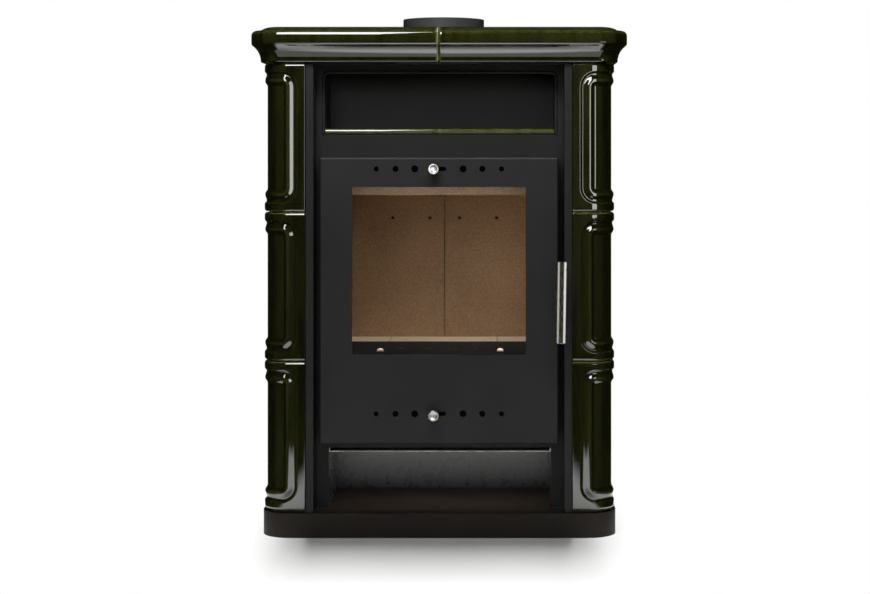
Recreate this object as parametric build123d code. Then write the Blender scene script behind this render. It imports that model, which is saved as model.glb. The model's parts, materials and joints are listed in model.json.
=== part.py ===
from build123d import *
import math
import os

# Tiled wood stove. Millimetres, +Z up, front facing -Y, origin on the floor under the plinth's middle.

# ------------------------------------------------------------------ driving dimensions
DEPTH = 430.0
BACK_Y = DEPTH / 2
PLINTH_HALF_W = 305.0
PLINTH_FRONT_Y = -BACK_Y
PLINTH_H = 42.0
PLINTH_R = 51.0
PLINTH_SHEET = 4.0

TILE_HALF_W = 302.5
TILE_FRONT_Y = -212.0
TILE_CORNER_R = 41.0
TILE_H = 254.0
TILE_JOINT = 1.8
TILE_WALL = 14.0
TILE_Z0 = 46.5
TILE_ROWS = ("lower", "middle", "upper")
TILE_INNER_X = 228.9
CORNER_TILE_END_Y = -6.0
SIDE_TILE_Y0 = -4.2
SIDE_TILE_Y1 = 203.0
BAND_W = 14.5
GROOVE_W = 9.0
BEAD_W = 11.0
FRAME_R = 27.0
GROOVE_LEVEL = -3.2
BEAD_LEVEL = -1.5
PANEL_LEVEL = -5.0
RELIEF_CLEAR = 6.0

SHEET = 2.5
CASING_BACK_Y = BACK_Y - 10.0
REAR_SHEET = 2.0
REAR_SCREW_R = 2.0
STRIP_INNER_X = 215.4
STRIP_OUTER_X = 228.2
STRIP_FRONT_Y = -207.0
FRAME_TOP_Z = 811.0
PANEL_FRONT_Y = -155.0
PANEL_SHEET = 3.0
PANEL_BACK_Y = PANEL_FRONT_Y + PANEL_SHEET
LEDGE = 1.0

NICHE_HALF_W = 199.5
NICHE_Z0 = 690.8
NICHE_Z1 = 796.0
NICHE_CORNER_R = 8.0
NICHE_BACK_Y = -32.0
RIM_W = 5.5
RIM_T = 2.4
SHELF_T = 10.0

FIRE_HALF_W = 180.0
FIRE_Z0 = 188.0
FIRE_Z1 = 626.0
FIRE_CORNER_R = 10.0

BAY_HALF_W = 193.6
BAY_TOP_Z = 145.7
BAY_BACK_Y = 37.0
SHIELD_Z = 138.5
SHIELD_SHEET = 1.5
SHIELD_LIP = 6.5

TOP_PLATE_T = 3.0
CORNICE_HALF_W = 324.0
CORNICE_FRONT_Y = -233.5
CORNICE_R = 50.0
CORNICE_Z0 = 814.0
CORNICE_Z1 = 875.0
CORNICE_SEAM = 0.4
CORNICE_TOP_T = 18.0
CORNICE_RIM_W = 46.0

FLUE_Y = 69.0
FLUE_R = 75.0
FLUE_WALL = 3.0
FLUE_TOP_Z = 906.0
FLUE_FOOT_W = 8.0
FLUE_FOOT_T = 2.0
FLUE_HOLE_R = 84.0
STUB_R = 71.5
STUB_WALL = 2.5
STUB_TOP_Z = 850.0

SHELL_HALF_W = 208.0
SHELL_WALL = 4.0
SHELL_BACK_Y = 154.5
SHELL_Z0 = 182.0
SHELL_Z1 = 672.0
RAIL_H = 4.0
FIRE_FLOOR_Z = 278.0
LINING_T = 22.0
LINING_FRONT_Y = -127.0
LINING_BACK_Y = 125.0
BRICK_Z = 282.0
BRICK_T = 30.0
BAFFLE_Z = 584.0
BAFFLE_T = 28.0
BAFFLE_FRONT_Y = -85.0
GRATE_HALF_W = 98.5
GRATE_END_Y = 30.0
SEAM = 0.5
BRICK_SEAM = 1.6

DOOR_HALF_W = 205.0
DOOR_Z0 = 159.5
DOOR_Z1 = 651.0
DOOR_FRONT_Y = -205.0
DOOR_SHEET = 4.0
DOOR_BACK_Y = -165.3
DOOR_PLATE_T = 3.0
GLASS_HALF_W = 149.0
GLASS_Z0 = 312.0
GLASS_Z1 = 600.0
GLASS_T = 4.0
GLASS_LAP = 9.0
TAPE_T = 1.5
CLIP_SHEET = 2.0
CLIP_SCREW_X = 166.0
CLIP_SCREW_R = 2.5
UPPER_AIR_Z = 631.0
LOWER_AIR_Z = 211.0
AIR_HOLES = ((41.5, 6.1), (74.5, 5.3), (107.5, 4.4))
AIR_TRAVEL = 17.0
SLIDE_HALF_W = 122.0
SLIDE_HALF_H = 11.0
SLIDE_T = 2.0
SLIDE_GAP = 0.3
STEM_R = 3.0
KNOB_R = 9.0
KNOB_FRONT_Y = -234.0
KNOB_L = 19.0
ROPE_R = 5.0
ROPE_HALF_W = 186.0
ROPE_Z0 = 182.0
ROPE_Z1 = 632.0
ROPE_CORNER_R = 24.0

HINGE_X = -197.0
HINGE_Y = -192.0
HINGE_PIN_R = 4.0
RUNNING_GAP = 0.05
HINGE_TONGUE_Z = (638.5, 172.0)
HINGE_LUG_Z = (630.0, 180.5)
LUG_HALF_T = 2.0
TONGUE_T = 5.0
TONGUE_SLOT_HALF = TONGUE_T / 2 + 1.5

LATCH_Y = -183.0
LATCH_Z = 405.5
LATCH_X0 = 207.0
LATCH_X1 = 212.0
LATCH_PIN_R = 4.0
CATCH_Y = -168.0
CATCH_Z = 411.0
CATCH_R = 4.0
HANDLE_X = 208.8
HANDLE_Y = -246.0
HANDLE_R = 9.0
HANDLE_BORE_R = 7.5
HANDLE_Z0 = 336.0
HANDLE_Z1 = 474.5
HANDLE_TILT = 0.9
CAP_L = 14.0
CAP_GROOVE = 1.0

PAN_HALF_W = 99.0
PAN_FRONT_Y = -147.0
PAN_BACK_Y = 40.0
PAN_Z0 = 190.3
PAN_H = 72.0
PAN_SHEET = 1.5


# ------------------------------------------------------------------ helpers
def block(x0, x1, y0, y1, z0, z1):
    """Box between two corners."""
    box = Box(x1 - x0, y1 - y0, z1 - z0, align=(Align.MIN, Align.MIN, Align.MIN))
    return Pos(x0, y0, z0) * box


def rod(radius, length):
    return Cylinder(radius, length, align=(Align.CENTER, Align.CENTER, Align.MIN))


def rod_x(x0, x1, y, z, radius):
    return Pos(x0, y, z) * Rot(0, 90, 0) * rod(radius, x1 - x0)


def rod_y(x, y0, y1, z, radius):
    return Pos(x, y0, z) * Rot(-90, 0, 0) * rod(radius, y1 - y0)


def rod_z(x, y, z0, z1, radius):
    return Pos(x, y, z0) * rod(radius, z1 - z0)


def other_side(shape):
    """The same piece on the other side of the stove."""
    return mirror(shape, about=Plane.YZ)


def along(shape, axis):
    return shape.edges().filter_by(axis)


def round_y_edges(shape, radius):
    """Round the corners of a plate that faces the front."""
    return fillet(along(shape, Axis.Y), radius)


def save(name, *solids):
    """Write one sub-part, which may be several separate solids."""
    shape = solids[0] if len(solids) == 1 else Compound(children=list(solids))
    export_step(shape, f"parts/{name}.step")


# ------------------------------------------------------------------ plinth
def rounded_plan(half_w, front_y, back_y, radius, z0, z1):
    """Slab with its two front corners round."""
    slab = block(-half_w, half_w, front_y, back_y, z0, z1)
    corners = along(slab, Axis.Z).group_by(Axis.Y)[0]
    return fillet(corners, radius)


def base_plinth():
    """Folded tray, open below, with a turned-in rim and a channel across the middle."""
    rim = 25.0
    channel = 30.0
    s = PLINTH_SHEET

    def level(inset, z0, z1):
        return rounded_plan(
            PLINTH_HALF_W - inset, PLINTH_FRONT_Y + inset, BACK_Y - inset, PLINTH_R - inset, z0, z1)

    tray = level(0, 0, PLINTH_H)
    tray -= level(s, s, PLINTH_H - s)
    tray -= level(rim, -s, PLINTH_H / 2)
    tray += block(-channel, channel, PLINTH_FRONT_Y + s, BACK_Y - s, 0, PLINTH_H - s)
    tray -= block(s - channel, channel - s, PLINTH_FRONT_Y + s, BACK_Y - s, s, PLINTH_H - s)
    return tray


# ------------------------------------------------------------------ casing
def side_frame():
    """Right side sheet, folded at the front to a narrow strip and a flange."""
    x0, x1 = STRIP_INNER_X, STRIP_OUTER_X
    z0, z1 = PLINTH_H, FRAME_TOP_Z
    flange_lap = 12.0
    sheet = block(x1 - SHEET, x1, STRIP_FRONT_Y, CASING_BACK_Y, z0, z1)
    strip = block(x0, x1, STRIP_FRONT_Y, STRIP_FRONT_Y + SHEET, z0, z1)
    flange = block(x0, x0 + SHEET, STRIP_FRONT_Y, PANEL_BACK_Y + flange_lap, z0, z1)
    return sheet + strip + flange


def catch_stud():
    """Stud on the right flange that the latch's hook passes behind."""
    tip_gap = 0.2
    return rod_x(LATCH_X0 - tip_gap, STRIP_INNER_X + SHEET, CATCH_Y, CATCH_Z, CATCH_R)


def front_panel():
    """Sheet behind the door, with the niche, fire and wood bay openings and a bead round the niche."""
    y0, y1 = PANEL_FRONT_Y, PANEL_BACK_Y
    panel = block(-STRIP_INNER_X, STRIP_INNER_X, y0, y1, PLINTH_H, FRAME_TOP_Z)
    fire = round_y_edges(block(-FIRE_HALF_W, FIRE_HALF_W, y0, y1, FIRE_Z0, FIRE_Z1), FIRE_CORNER_R)
    bay = block(-BAY_HALF_W, BAY_HALF_W, y0, y1, PLINTH_H, BAY_TOP_Z)
    return panel - niche_slab(0, y0, y1) - fire - bay + niche_rim()


def niche_slab(grow, y0, y1):
    """Slab in the niche opening's outline with its upper corners round, grown at the sides and top."""
    x = NICHE_HALF_W + grow
    slab = block(-x, x, y0, y1, NICHE_Z0, NICHE_Z1 + grow)
    return fillet(along(slab, Axis.Y).group_by(Axis.Z)[-1], NICHE_CORNER_R + grow)


def niche_rim():
    """Rounded bead pressed out round the sides and top of the niche opening."""
    y0, y1 = PANEL_FRONT_Y - RIM_T, PANEL_FRONT_Y
    rim = niche_slab(RIM_W, y0, y1) - niche_slab(0, y0, y1)
    front = rim.faces().sort_by(Axis.Y)[0]
    long_edges = front.edges().sort_by(Axis.Z)[2:]
    return fillet(long_edges, RIM_T - 0.1)


def niche_liner():
    """Box of folded sheet behind the niche opening, open at the front."""
    s = 2.0
    margin = 4.0
    side = NICHE_HALF_W + margin
    top = NICHE_Z1 + margin + s
    box = block(-side, side, PANEL_BACK_Y, NICHE_BACK_Y + s, NICHE_Z0 - s, top)
    return box - block(s - side, side - s, PANEL_BACK_Y, NICHE_BACK_Y, NICHE_Z0, top - s)


def niche_shelf_tile():
    """Right half of the glazed shelf; its front edge shows in the niche opening."""
    front = PANEL_FRONT_Y - LEDGE
    nose_flat = 2.0
    tile = block(CORNICE_SEAM, NICHE_HALF_W - SEAM, front, NICHE_BACK_Y - SEAM, NICHE_Z0, NICHE_Z0 + SHELF_T)
    nose = along(tile, Axis.X).group_by(Axis.Y)[0]
    return fillet(nose, (SHELF_T - nose_flat) / 2)


def top_plate():
    """Steel plate on the frame under the ceramic top, with a tongue in front below the top's joint."""
    inset = TILE_WALL + 2.0
    stub_gap = 0.5
    tongue_half_w = 74.0
    tongue_front = CORNICE_FRONT_Y + 21.5
    z0, z1 = FRAME_TOP_Z, FRAME_TOP_Z + TOP_PLATE_T
    plate = rounded_plan(TILE_HALF_W - inset, TILE_FRONT_Y + inset, CASING_BACK_Y, TILE_CORNER_R, z0, z1)
    plate += block(-tongue_half_w, tongue_half_w, tongue_front, 0, z0, z1)
    return plate - rod_z(0, FLUE_Y, z0, z1, STUB_R + stub_gap)


def rear_panel():
    """Back sheet with two bands of upright convection slots."""
    y0, y1 = CASING_BACK_Y, CASING_BACK_Y + REAR_SHEET
    half_w = TILE_HALF_W - 3.0
    slot_half_w = 5.0
    slot_h = 60.0
    slot_r = slot_half_w - 0.1
    pitch = 36.0
    panel = block(-half_w, half_w, y0, y1, PLINTH_H, FRAME_TOP_Z + TOP_PLATE_T)
    slot = round_y_edges(block(-slot_half_w, slot_half_w, y0, y1, 0, slot_h), slot_r)
    slots = [Pos(i * pitch, 0, z) * slot for z in (90.0, 660.0) for i in range(-6, 7)]
    screw_holes = [rod_y(x, y0, y1, z, REAR_SCREW_R) for x, z in rear_screw_points()]
    return panel - slots - screw_holes


def rear_screw_points():
    x = STRIP_OUTER_X - SHEET / 2
    return [(side * x, z) for side in (-1, 1) for z in (70.0, 300.0, 540.0, 780.0)]


def rear_panel_screws():
    y0, y1 = CASING_BACK_Y, CASING_BACK_Y + REAR_SHEET
    head_r = 4.5
    head_l = 2.5
    return [
        rod_y(x, y1, y1 + head_l, z, head_r) + rod_y(x, y0, y1, z, REAR_SCREW_R)
        for x, z in rear_screw_points()
    ]


def heat_shield():
    """Bare sheet over the wood bay, its two ends turned up."""
    front = PANEL_FRONT_Y - LEDGE
    clear = 0.8
    x = BAY_HALF_W - clear
    s = SHIELD_SHEET
    tray = block(-x, x, front, BAY_BACK_Y, SHIELD_Z, SHIELD_Z + s)
    for x0 in (-x, x - s):
        tray += block(x0, x0 + s, front, BAY_BACK_Y, SHIELD_Z, SHIELD_Z + SHIELD_LIP)
    return tray


def wood_bay_liner():
    """One sheet folded round the sides and back of the wood bay."""
    s = SHIELD_SHEET
    clear = 0.6
    inner = BAY_HALF_W + clear
    top = SHIELD_Z + SHIELD_LIP + 4.0
    liner = block(-inner - s, inner + s, PANEL_BACK_Y, BAY_BACK_Y + s, PLINTH_H, top)
    return liner - block(-inner, inner, PANEL_BACK_Y, BAY_BACK_Y, PLINTH_H, top)


# ------------------------------------------------------------------ glazed tiles
def tile_plan(offset, x_in, y_end):
    """Plan of a right corner tile's outside, grown by offset: a rectangle with one round corner."""
    x_out = TILE_HALF_W + offset
    y_front = TILE_FRONT_Y - offset
    r = TILE_CORNER_R + offset
    mid = r * (1 - math.sqrt(0.5))
    outline = Wire([
        Line((x_in, y_front), (x_out - r, y_front)),
        ThreePointArc((x_out - r, y_front), (x_out - mid, y_front + mid), (x_out, y_front + r)),
        Line((x_out, y_front + r), (x_out, y_end)),
        Line((x_out, y_end), (x_in, y_end)),
        Line((x_in, y_end), (x_in, y_front)),
    ])
    return Face(outline)


def corner_layer(inner, outer, margin, radius):
    """Part of the corner tile's skin between two levels, kept margin away from the tile's edges."""
    plan = [tile_plan(offset, TILE_INNER_X, CORNER_TILE_END_Y) for offset in (inner, outer)]
    skin = extrude(plan[1] - plan[0], TILE_H)
    if not margin:
        return skin
    far = 2 * TILE_HALF_W
    z0, z1 = margin, TILE_H - margin
    front_window = block(TILE_INNER_X + margin, far, -far, far, z0, z1)
    front_window = fillet(along(front_window, Axis.Y).group_by(Axis.X)[0], radius)
    side_window = block(0, far, -far, CORNER_TILE_END_Y - margin, z0, z1)
    side_window = fillet(along(side_window, Axis.X).group_by(Axis.Y)[-1], radius)
    return skin & front_window & side_window


def side_layer(inner, outer, margin, radius):
    """The same for the flat tile behind the corner tile."""
    solid = block(TILE_HALF_W + inner, TILE_HALF_W + outer, SIDE_TILE_Y0 + margin,
                  SIDE_TILE_Y1 - margin, margin, TILE_H - margin)
    if radius:
        solid = fillet(along(solid, Axis.X), radius)
    return solid


def framed_tile(layer):
    """Flat outer band, groove, raised bead and sunk panel, one inside the other."""
    tile = layer(-TILE_WALL, 0.0, 0.0, 0.0)
    tile -= layer(GROOVE_LEVEL, RELIEF_CLEAR, BAND_W, FRAME_R)
    tile += layer(-RELIEF_CLEAR, BEAD_LEVEL, BAND_W + GROOVE_W, FRAME_R - GROOVE_W)
    inside = BAND_W + GROOVE_W + BEAD_W
    tile -= layer(PANEL_LEVEL, RELIEF_CLEAR, inside, FRAME_R / 3)
    return tile


def save_tiles():
    corner = framed_tile(corner_layer)
    flat = framed_tile(side_layer)
    for row, name in enumerate(TILE_ROWS):
        lift = Pos(0, 0, TILE_Z0 + row * (TILE_H + TILE_JOINT))
        for kind, tile in (("corner", corner), ("side", flat)):
            save(f"{name}_right_{kind}_tile", lift * tile)
            save(f"{name}_left_{kind}_tile", other_side(lift * tile))


def tile_rails():
    """Shelves between side sheet and tiles, open in the middle for the rising air."""
    clear = 0.3
    drop = 2.0
    ledge_inset = 6.0
    gap_x0, gap_x1 = 240.0, 276.0
    gap_l = 150.0
    shelves = []
    for level in range(len(TILE_ROWS) + 1):
        under = level == 0
        z = TILE_Z0 + level * (TILE_H + TILE_JOINT) - RAIL_H - (clear if under else drop)
        inset = ledge_inset if under else TILE_WALL + clear
        plan = tile_plan(-inset, STRIP_OUTER_X, SIDE_TILE_Y1 - 1.0)
        shelf = Pos(0, 0, z) * extrude(plan, RAIL_H if under else RAIL_H - 1.0)
        for y0 in (-150.0, 20.0):
            shelf -= block(gap_x0, gap_x1, y0, y0 + gap_l, z, z + RAIL_H)
        shelves += [shelf, other_side(shelf)]
    return shelves


# ------------------------------------------------------------------ ceramic top
def cornice_profile():
    """Rim section in its own plane: x runs outwards from the nosing's face, y is height."""
    z0, z1 = CORNICE_Z0, CORNICE_Z1
    cove_z = z0 + 3.0
    cove_x = -16.0
    nose_low = z0 + 29.3
    ledge = z1 - 6.5
    ledge_x = -15.5
    crown_x = -36.0
    inner = -CORNICE_RIM_W
    outline = Wire([
        Line((inner, z0), (cove_x - 2.0, z0)),
        Line((cove_x - 2.0, z0), (cove_x, cove_z)),
        ThreePointArc((cove_x, cove_z), (-11.8, cove_z + 15.5), (-1.5, nose_low)),
        Line((-1.5, nose_low), (0, nose_low + 3.7)),
        Line((0, nose_low + 3.7), (0, z1 - 14.0)),
        ThreePointArc((0, z1 - 14.0), (-2.0, z1 - 9.0), (-6.0, ledge)),
        Line((-6.0, ledge), (ledge_x, ledge)),
        ThreePointArc((ledge_x, ledge), (-25.2, z1 - 1.7), (crown_x, z1)),
        Line((crown_x, z1), (inner, z1)),
        Line((inner, z1), (inner, z0)),
    ])
    return Face(outline)


def ceramic_top():
    """Right half of the top: moulded rim on the front and side, thinner in the middle."""
    profile = cornice_profile()
    centre_x = CORNICE_HALF_W - CORNICE_R
    centre_y = CORNICE_FRONT_Y + CORNICE_R
    front_plane = Plane(origin=(CORNICE_SEAM, CORNICE_FRONT_Y, 0), x_dir=(0, -1, 0), z_dir=(-1, 0, 0))
    side_plane = Plane(origin=(CORNICE_HALF_W, centre_y, 0), x_dir=(1, 0, 0), z_dir=(0, -1, 0))
    front = extrude(front_plane * profile, CORNICE_SEAM - centre_x)
    side = extrude(side_plane * profile, centre_y - BACK_Y)
    corner = revolve(side_plane * profile, Axis((centre_x, centre_y, 0), (0, 0, 1)), -90)
    overlap = 1.0
    inner_x = CORNICE_HALF_W - CORNICE_RIM_W + overlap
    inner_y = CORNICE_FRONT_Y + CORNICE_RIM_W - overlap
    rear_lip = 9.0
    under = CORNICE_Z1 - CORNICE_TOP_T
    field = block(CORNICE_SEAM, inner_x, inner_y, BACK_Y, under, CORNICE_Z1)
    rear_rim = block(CORNICE_SEAM, inner_x, BACK_Y - rear_lip, BACK_Y, CORNICE_Z0, CORNICE_Z1)
    top = front + side + corner + field + rear_rim
    return top - rod_z(0, FLUE_Y, CORNICE_Z0, CORNICE_Z1, FLUE_HOLE_R)


# ------------------------------------------------------------------ flue collar
def flue_collar():
    """Collar with a screwed foot ring on the steel top plate; the flue pipe slides over it."""
    z0 = FRAME_TOP_Z + TOP_PLATE_T
    foot = rod_z(0, FLUE_Y, z0, z0 + FLUE_FOOT_T, FLUE_R + FLUE_FOOT_W)
    collar = foot + rod_z(0, FLUE_Y, z0, FLUE_TOP_Z, FLUE_R)
    return collar - rod_z(0, FLUE_Y, z0, FLUE_TOP_Z, FLUE_R - FLUE_WALL)


def flue_collar_screws():
    z0 = FRAME_TOP_Z + TOP_PLATE_T + FLUE_FOOT_T
    ring_r = FLUE_R + 4.2
    head_r = 3.0
    head_l = 2.0
    angles = [math.radians(45 + 90 * i) for i in range(4)]
    return [
        rod_z(ring_r * math.cos(a), FLUE_Y + ring_r * math.sin(a), z0, z0 + head_l, head_r)
        for a in angles
    ]


# ------------------------------------------------------------------ firebox
def firebox_shell():
    """Welded firebox: ash chamber below, grate floor, fire chamber, and flue stub on top."""
    w = SHELL_WALL
    x = SHELL_HALF_W
    y0, y1 = PANEL_BACK_Y, SHELL_BACK_Y
    ash_hole_half_w = 90.0
    ash_hole_y0, ash_hole_y1 = -120.0, 22.0
    rail_w = 10.0
    rail_y0, rail_y1 = y0 + 4.0, PAN_BACK_Y + 5.0
    rail_z = SHELL_Z0 + w
    shell = block(-x, x, y0, y1, SHELL_Z0, SHELL_Z1)
    shell -= block(w - x, x - w, y0, y1 - w, rail_z, FIRE_FLOOR_Z)
    shell -= block(w - x, x - w, y0, y1 - w, FIRE_FLOOR_Z + w, SHELL_Z1 - w)
    shell -= block(-ash_hole_half_w, ash_hole_half_w, ash_hole_y0, ash_hole_y1,
                   FIRE_FLOOR_Z, FIRE_FLOOR_Z + w)
    for rail_x in (-80.0, 70.0):
        shell += block(rail_x, rail_x + rail_w, rail_y0, rail_y1, rail_z, rail_z + RAIL_H)
    shell += rod_z(0, FLUE_Y, SHELL_Z1 - w, STUB_TOP_Z, STUB_R)
    return shell - rod_z(0, FLUE_Y, SHELL_Z1 - w, STUB_TOP_Z, STUB_R - STUB_WALL)


def back_lining():
    """Right back panel, with its two air holes."""
    top_z = 640.0
    hole_z = 536.0
    hole_r = 3.5
    y0, y1 = LINING_BACK_Y, SHELL_BACK_Y - SHELL_WALL
    panel = block(BRICK_SEAM / 2, SHELL_HALF_W - SHELL_WALL, y0, y1, BRICK_Z, top_z)
    for x in (28.0, 98.5):
        panel -= rod_y(x, y0, y1, hole_z, hole_r)
    return panel


def side_lining():
    x1 = SHELL_HALF_W - SHELL_WALL
    return block(x1 - LINING_T, x1, LINING_FRONT_Y, LINING_BACK_Y, BRICK_Z, BAFFLE_Z)


def floor_brick_side():
    x1 = SHELL_HALF_W - SHELL_WALL - LINING_T
    return block(GRATE_HALF_W + BRICK_SEAM, x1, LINING_FRONT_Y, LINING_BACK_Y, BRICK_Z, BRICK_Z + BRICK_T)


def floor_brick_centre():
    y0 = GRATE_END_Y + BRICK_SEAM
    return block(-GRATE_HALF_W, GRATE_HALF_W, y0, LINING_BACK_Y, BRICK_Z, BRICK_Z + BRICK_T)


def baffle():
    x = SHELL_HALF_W - SHELL_WALL
    return block(-x, x, BAFFLE_FRONT_Y, LINING_BACK_Y, BAFFLE_Z, BAFFLE_Z + BAFFLE_T)


def fire_grate():
    """Cast frame with cross slots."""
    z0, z1 = BRICK_Z, BRICK_Z + 22.0
    grate = block(-GRATE_HALF_W, GRATE_HALF_W, LINING_FRONT_Y, GRATE_END_Y, z0, z1)
    frame_w = 15.0
    pitch = 17.0
    slot_half_w = 4.0
    slot_r = slot_half_w - 0.1
    slot = block(-slot_half_w, slot_half_w, LINING_FRONT_Y + frame_w, GRATE_END_Y - frame_w, z0, z1)
    slot = fillet(along(slot, Axis.Z), slot_r)
    return grate - [Pos(i * pitch, 0, 0) * slot for i in range(-4, 5)]


def log_fence():
    """Upright guard plate with half-round air holes near its ends and four thin slots."""
    x = SHELL_HALF_W - SHELL_WALL
    y0 = LINING_FRONT_Y - 4.0
    y1 = y0 + 3.0
    top_z = 328.0
    hole_z = 310.0
    hole_r = 6.5
    slot_z0, slot_z1 = 314.6, 316.6
    slot_half_w = 7.0
    fence = block(-x, x, y0, y1, BRICK_Z, top_z)
    for hole_x in (-105.0, 105.0):
        below = block(hole_x - hole_r, hole_x + hole_r, y0, y1, hole_z - hole_r, hole_z)
        fence -= rod_y(hole_x, y0, y1, hole_z, hole_r) - below
    for slot_x in (-66.0, -22.0, 22.0, 66.0):
        fence -= block(slot_x - slot_half_w, slot_x + slot_half_w, y0, y1, slot_z0, slot_z1)
    return fence


def ash_pan():
    """Open pan with a turned-out grip along the top of its front."""
    s = PAN_SHEET
    x = PAN_HALF_W
    z1 = PAN_Z0 + PAN_H
    grip_half_w = 40.0
    grip = 9.0
    grip_y = PAN_FRONT_Y - grip
    pan = block(-x, x, PAN_FRONT_Y, PAN_BACK_Y, PAN_Z0, z1)
    pan -= block(s - x, x - s, PAN_FRONT_Y + s, PAN_BACK_Y - s, PAN_Z0 + s, z1)
    pan += block(-grip_half_w, grip_half_w, grip_y, PAN_FRONT_Y, z1 - s, z1)
    pan += block(-grip_half_w, grip_half_w, grip_y, grip_y + s, z1 - grip, z1)
    return pan


# ------------------------------------------------------------------ fire door
def air_row(z, shift):
    """Six graded holes of one air row, moved sideways by shift."""
    y1 = DOOR_FRONT_Y + DOOR_SHEET + SLIDE_GAP + SLIDE_T
    return [rod_y(side * x + shift, DOOR_FRONT_Y, y1, z, r) for x, r in AIR_HOLES for side in (-1, 1)]


def door_panel():
    """Front plate with turned-back edges, slide guides and hinge lugs."""
    x, y0, y1 = DOOR_HALF_W, DOOR_FRONT_Y, DOOR_BACK_Y
    s = DOOR_SHEET
    glass_corner_r = 2.0
    slot_reach = AIR_TRAVEL / 2 + STEM_R + 1.0
    slot_half_h = STEM_R + 0.75
    slot_r = slot_half_h - 0.05
    panel = block(-x, x, y0, y1, DOOR_Z0, DOOR_Z1)
    panel -= block(s - x, x - s, y0 + s, y1, DOOR_Z0 + s, DOOR_Z1 - s)
    glass_opening = block(-GLASS_HALF_W, GLASS_HALF_W, y0, y0 + s, GLASS_Z0, GLASS_Z1)
    panel -= round_y_edges(glass_opening, glass_corner_r)
    for z in (UPPER_AIR_Z, LOWER_AIR_Z):
        panel -= air_row(z, 0.0)
        slot = block(-slot_reach, slot_reach, y0, y0 + s, z - slot_half_h, z + slot_half_h)
        panel -= round_y_edges(slot, slot_r)
        for side in (-1, 1):
            panel += slide_guide(z, side)
    for lug_z in HINGE_LUG_Z:
        panel += hinge_lug(lug_z)
    for tongue_z in HINGE_TONGUE_Z:
        z0, z1 = tongue_z - TONGUE_SLOT_HALF, tongue_z + TONGUE_SLOT_HALF
        panel -= block(-x, HINGE_X - HINGE_PIN_R, y0 + s, y1, z0, z1)
    for end_z in (DOOR_Z0 + s / 2, DOOR_Z1 - s):
        panel -= rod_z(HINGE_X, HINGE_Y, end_z, end_z + s / 2 + 0.01, HINGE_PIN_R)
    panel -= rod_x(x - s, x, LATCH_Y, LATCH_Z, LATCH_PIN_R)
    return round_front_edges(panel)


def round_front_edges(panel):
    """Ease the outer edge of the door's front face."""
    edge_r = 3.5
    front = panel.faces().sort_by(Axis.Y)[0]
    return fillet(front.outer_wire().edges(), edge_r)


def slide_guide(z, side):
    """Angle behind the door plate that holds one long edge of an air slide."""
    s = 1.5
    lap = 3.0
    half_l = SLIDE_HALF_W + 8.0
    y0 = DOOR_FRONT_Y + DOOR_SHEET
    y_lip = y0 + 2 * SLIDE_GAP + SLIDE_T
    z_in = z + side * (SLIDE_HALF_H - lap)
    z_wall = z + side * (SLIDE_HALF_H + SLIDE_GAP)
    z_out = z_wall + side * s
    wall = block(-half_l, half_l, y0, y_lip + s, min(z_wall, z_out), max(z_wall, z_out))
    lip = block(-half_l, half_l, y_lip, y_lip + s, min(z_in, z_wall), max(z_in, z_wall))
    return wall + lip


def hinge_lug(z):
    """Lug inside the door's corner that steadies a hinge pin."""
    reach = 8.0
    z0, z1 = z - LUG_HALF_T, z + LUG_HALF_T
    inside = DOOR_SHEET - DOOR_HALF_W
    lug = block(inside, HINGE_X + reach, DOOR_FRONT_Y + DOOR_SHEET, HINGE_Y + reach, z0, z1)
    return lug - rod_z(HINGE_X, HINGE_Y, z0, z1, HINGE_PIN_R)


def hinge_pins():
    upper_z, lower_z = HINGE_LUG_Z
    upper = rod_z(HINGE_X, HINGE_Y, upper_z - LUG_HALF_T, DOOR_Z1 - DOOR_SHEET / 2, HINGE_PIN_R)
    lower = rod_z(HINGE_X, HINGE_Y, DOOR_Z0 + DOOR_SHEET / 2, lower_z + LUG_HALF_T, HINGE_PIN_R)
    return upper, lower


def hinge_bracket(z):
    """Tongue from the front panel that reaches into the door's edge and carries a pin."""
    half_w = 5.0
    eye_r = 7.0
    bend_y0, bend_y1 = -182.0, -173.0
    foot_x = -200.5
    foot_lap = 7.0
    foot_t = 3.0
    foot_half_h = 12.0
    z0, z1 = z - TONGUE_T / 2, z + TONGUE_T / 2
    points = [
        (HINGE_X - half_w, HINGE_Y), (HINGE_X - half_w, bend_y0), (foot_x - half_w, bend_y1),
        (foot_x - half_w, PANEL_FRONT_Y), (foot_x + half_w, PANEL_FRONT_Y),
        (foot_x + half_w, bend_y1), (HINGE_X + half_w, bend_y0), (HINGE_X + half_w, HINGE_Y),
    ]
    outline = Wire.make_polygon([(px, py, z0) for px, py in points])
    tongue = extrude(Face(outline), TONGUE_T, dir=(0, 0, 1))
    tongue += rod_z(HINGE_X, HINGE_Y, z0, z1, eye_r)
    tongue += block(foot_x - foot_lap, foot_x + half_w, PANEL_FRONT_Y - foot_t, PANEL_FRONT_Y,
                    z - foot_half_h, z + foot_half_h)
    return tongue - rod_z(HINGE_X, HINGE_Y, z0, z1, HINGE_PIN_R + RUNNING_GAP)


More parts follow.
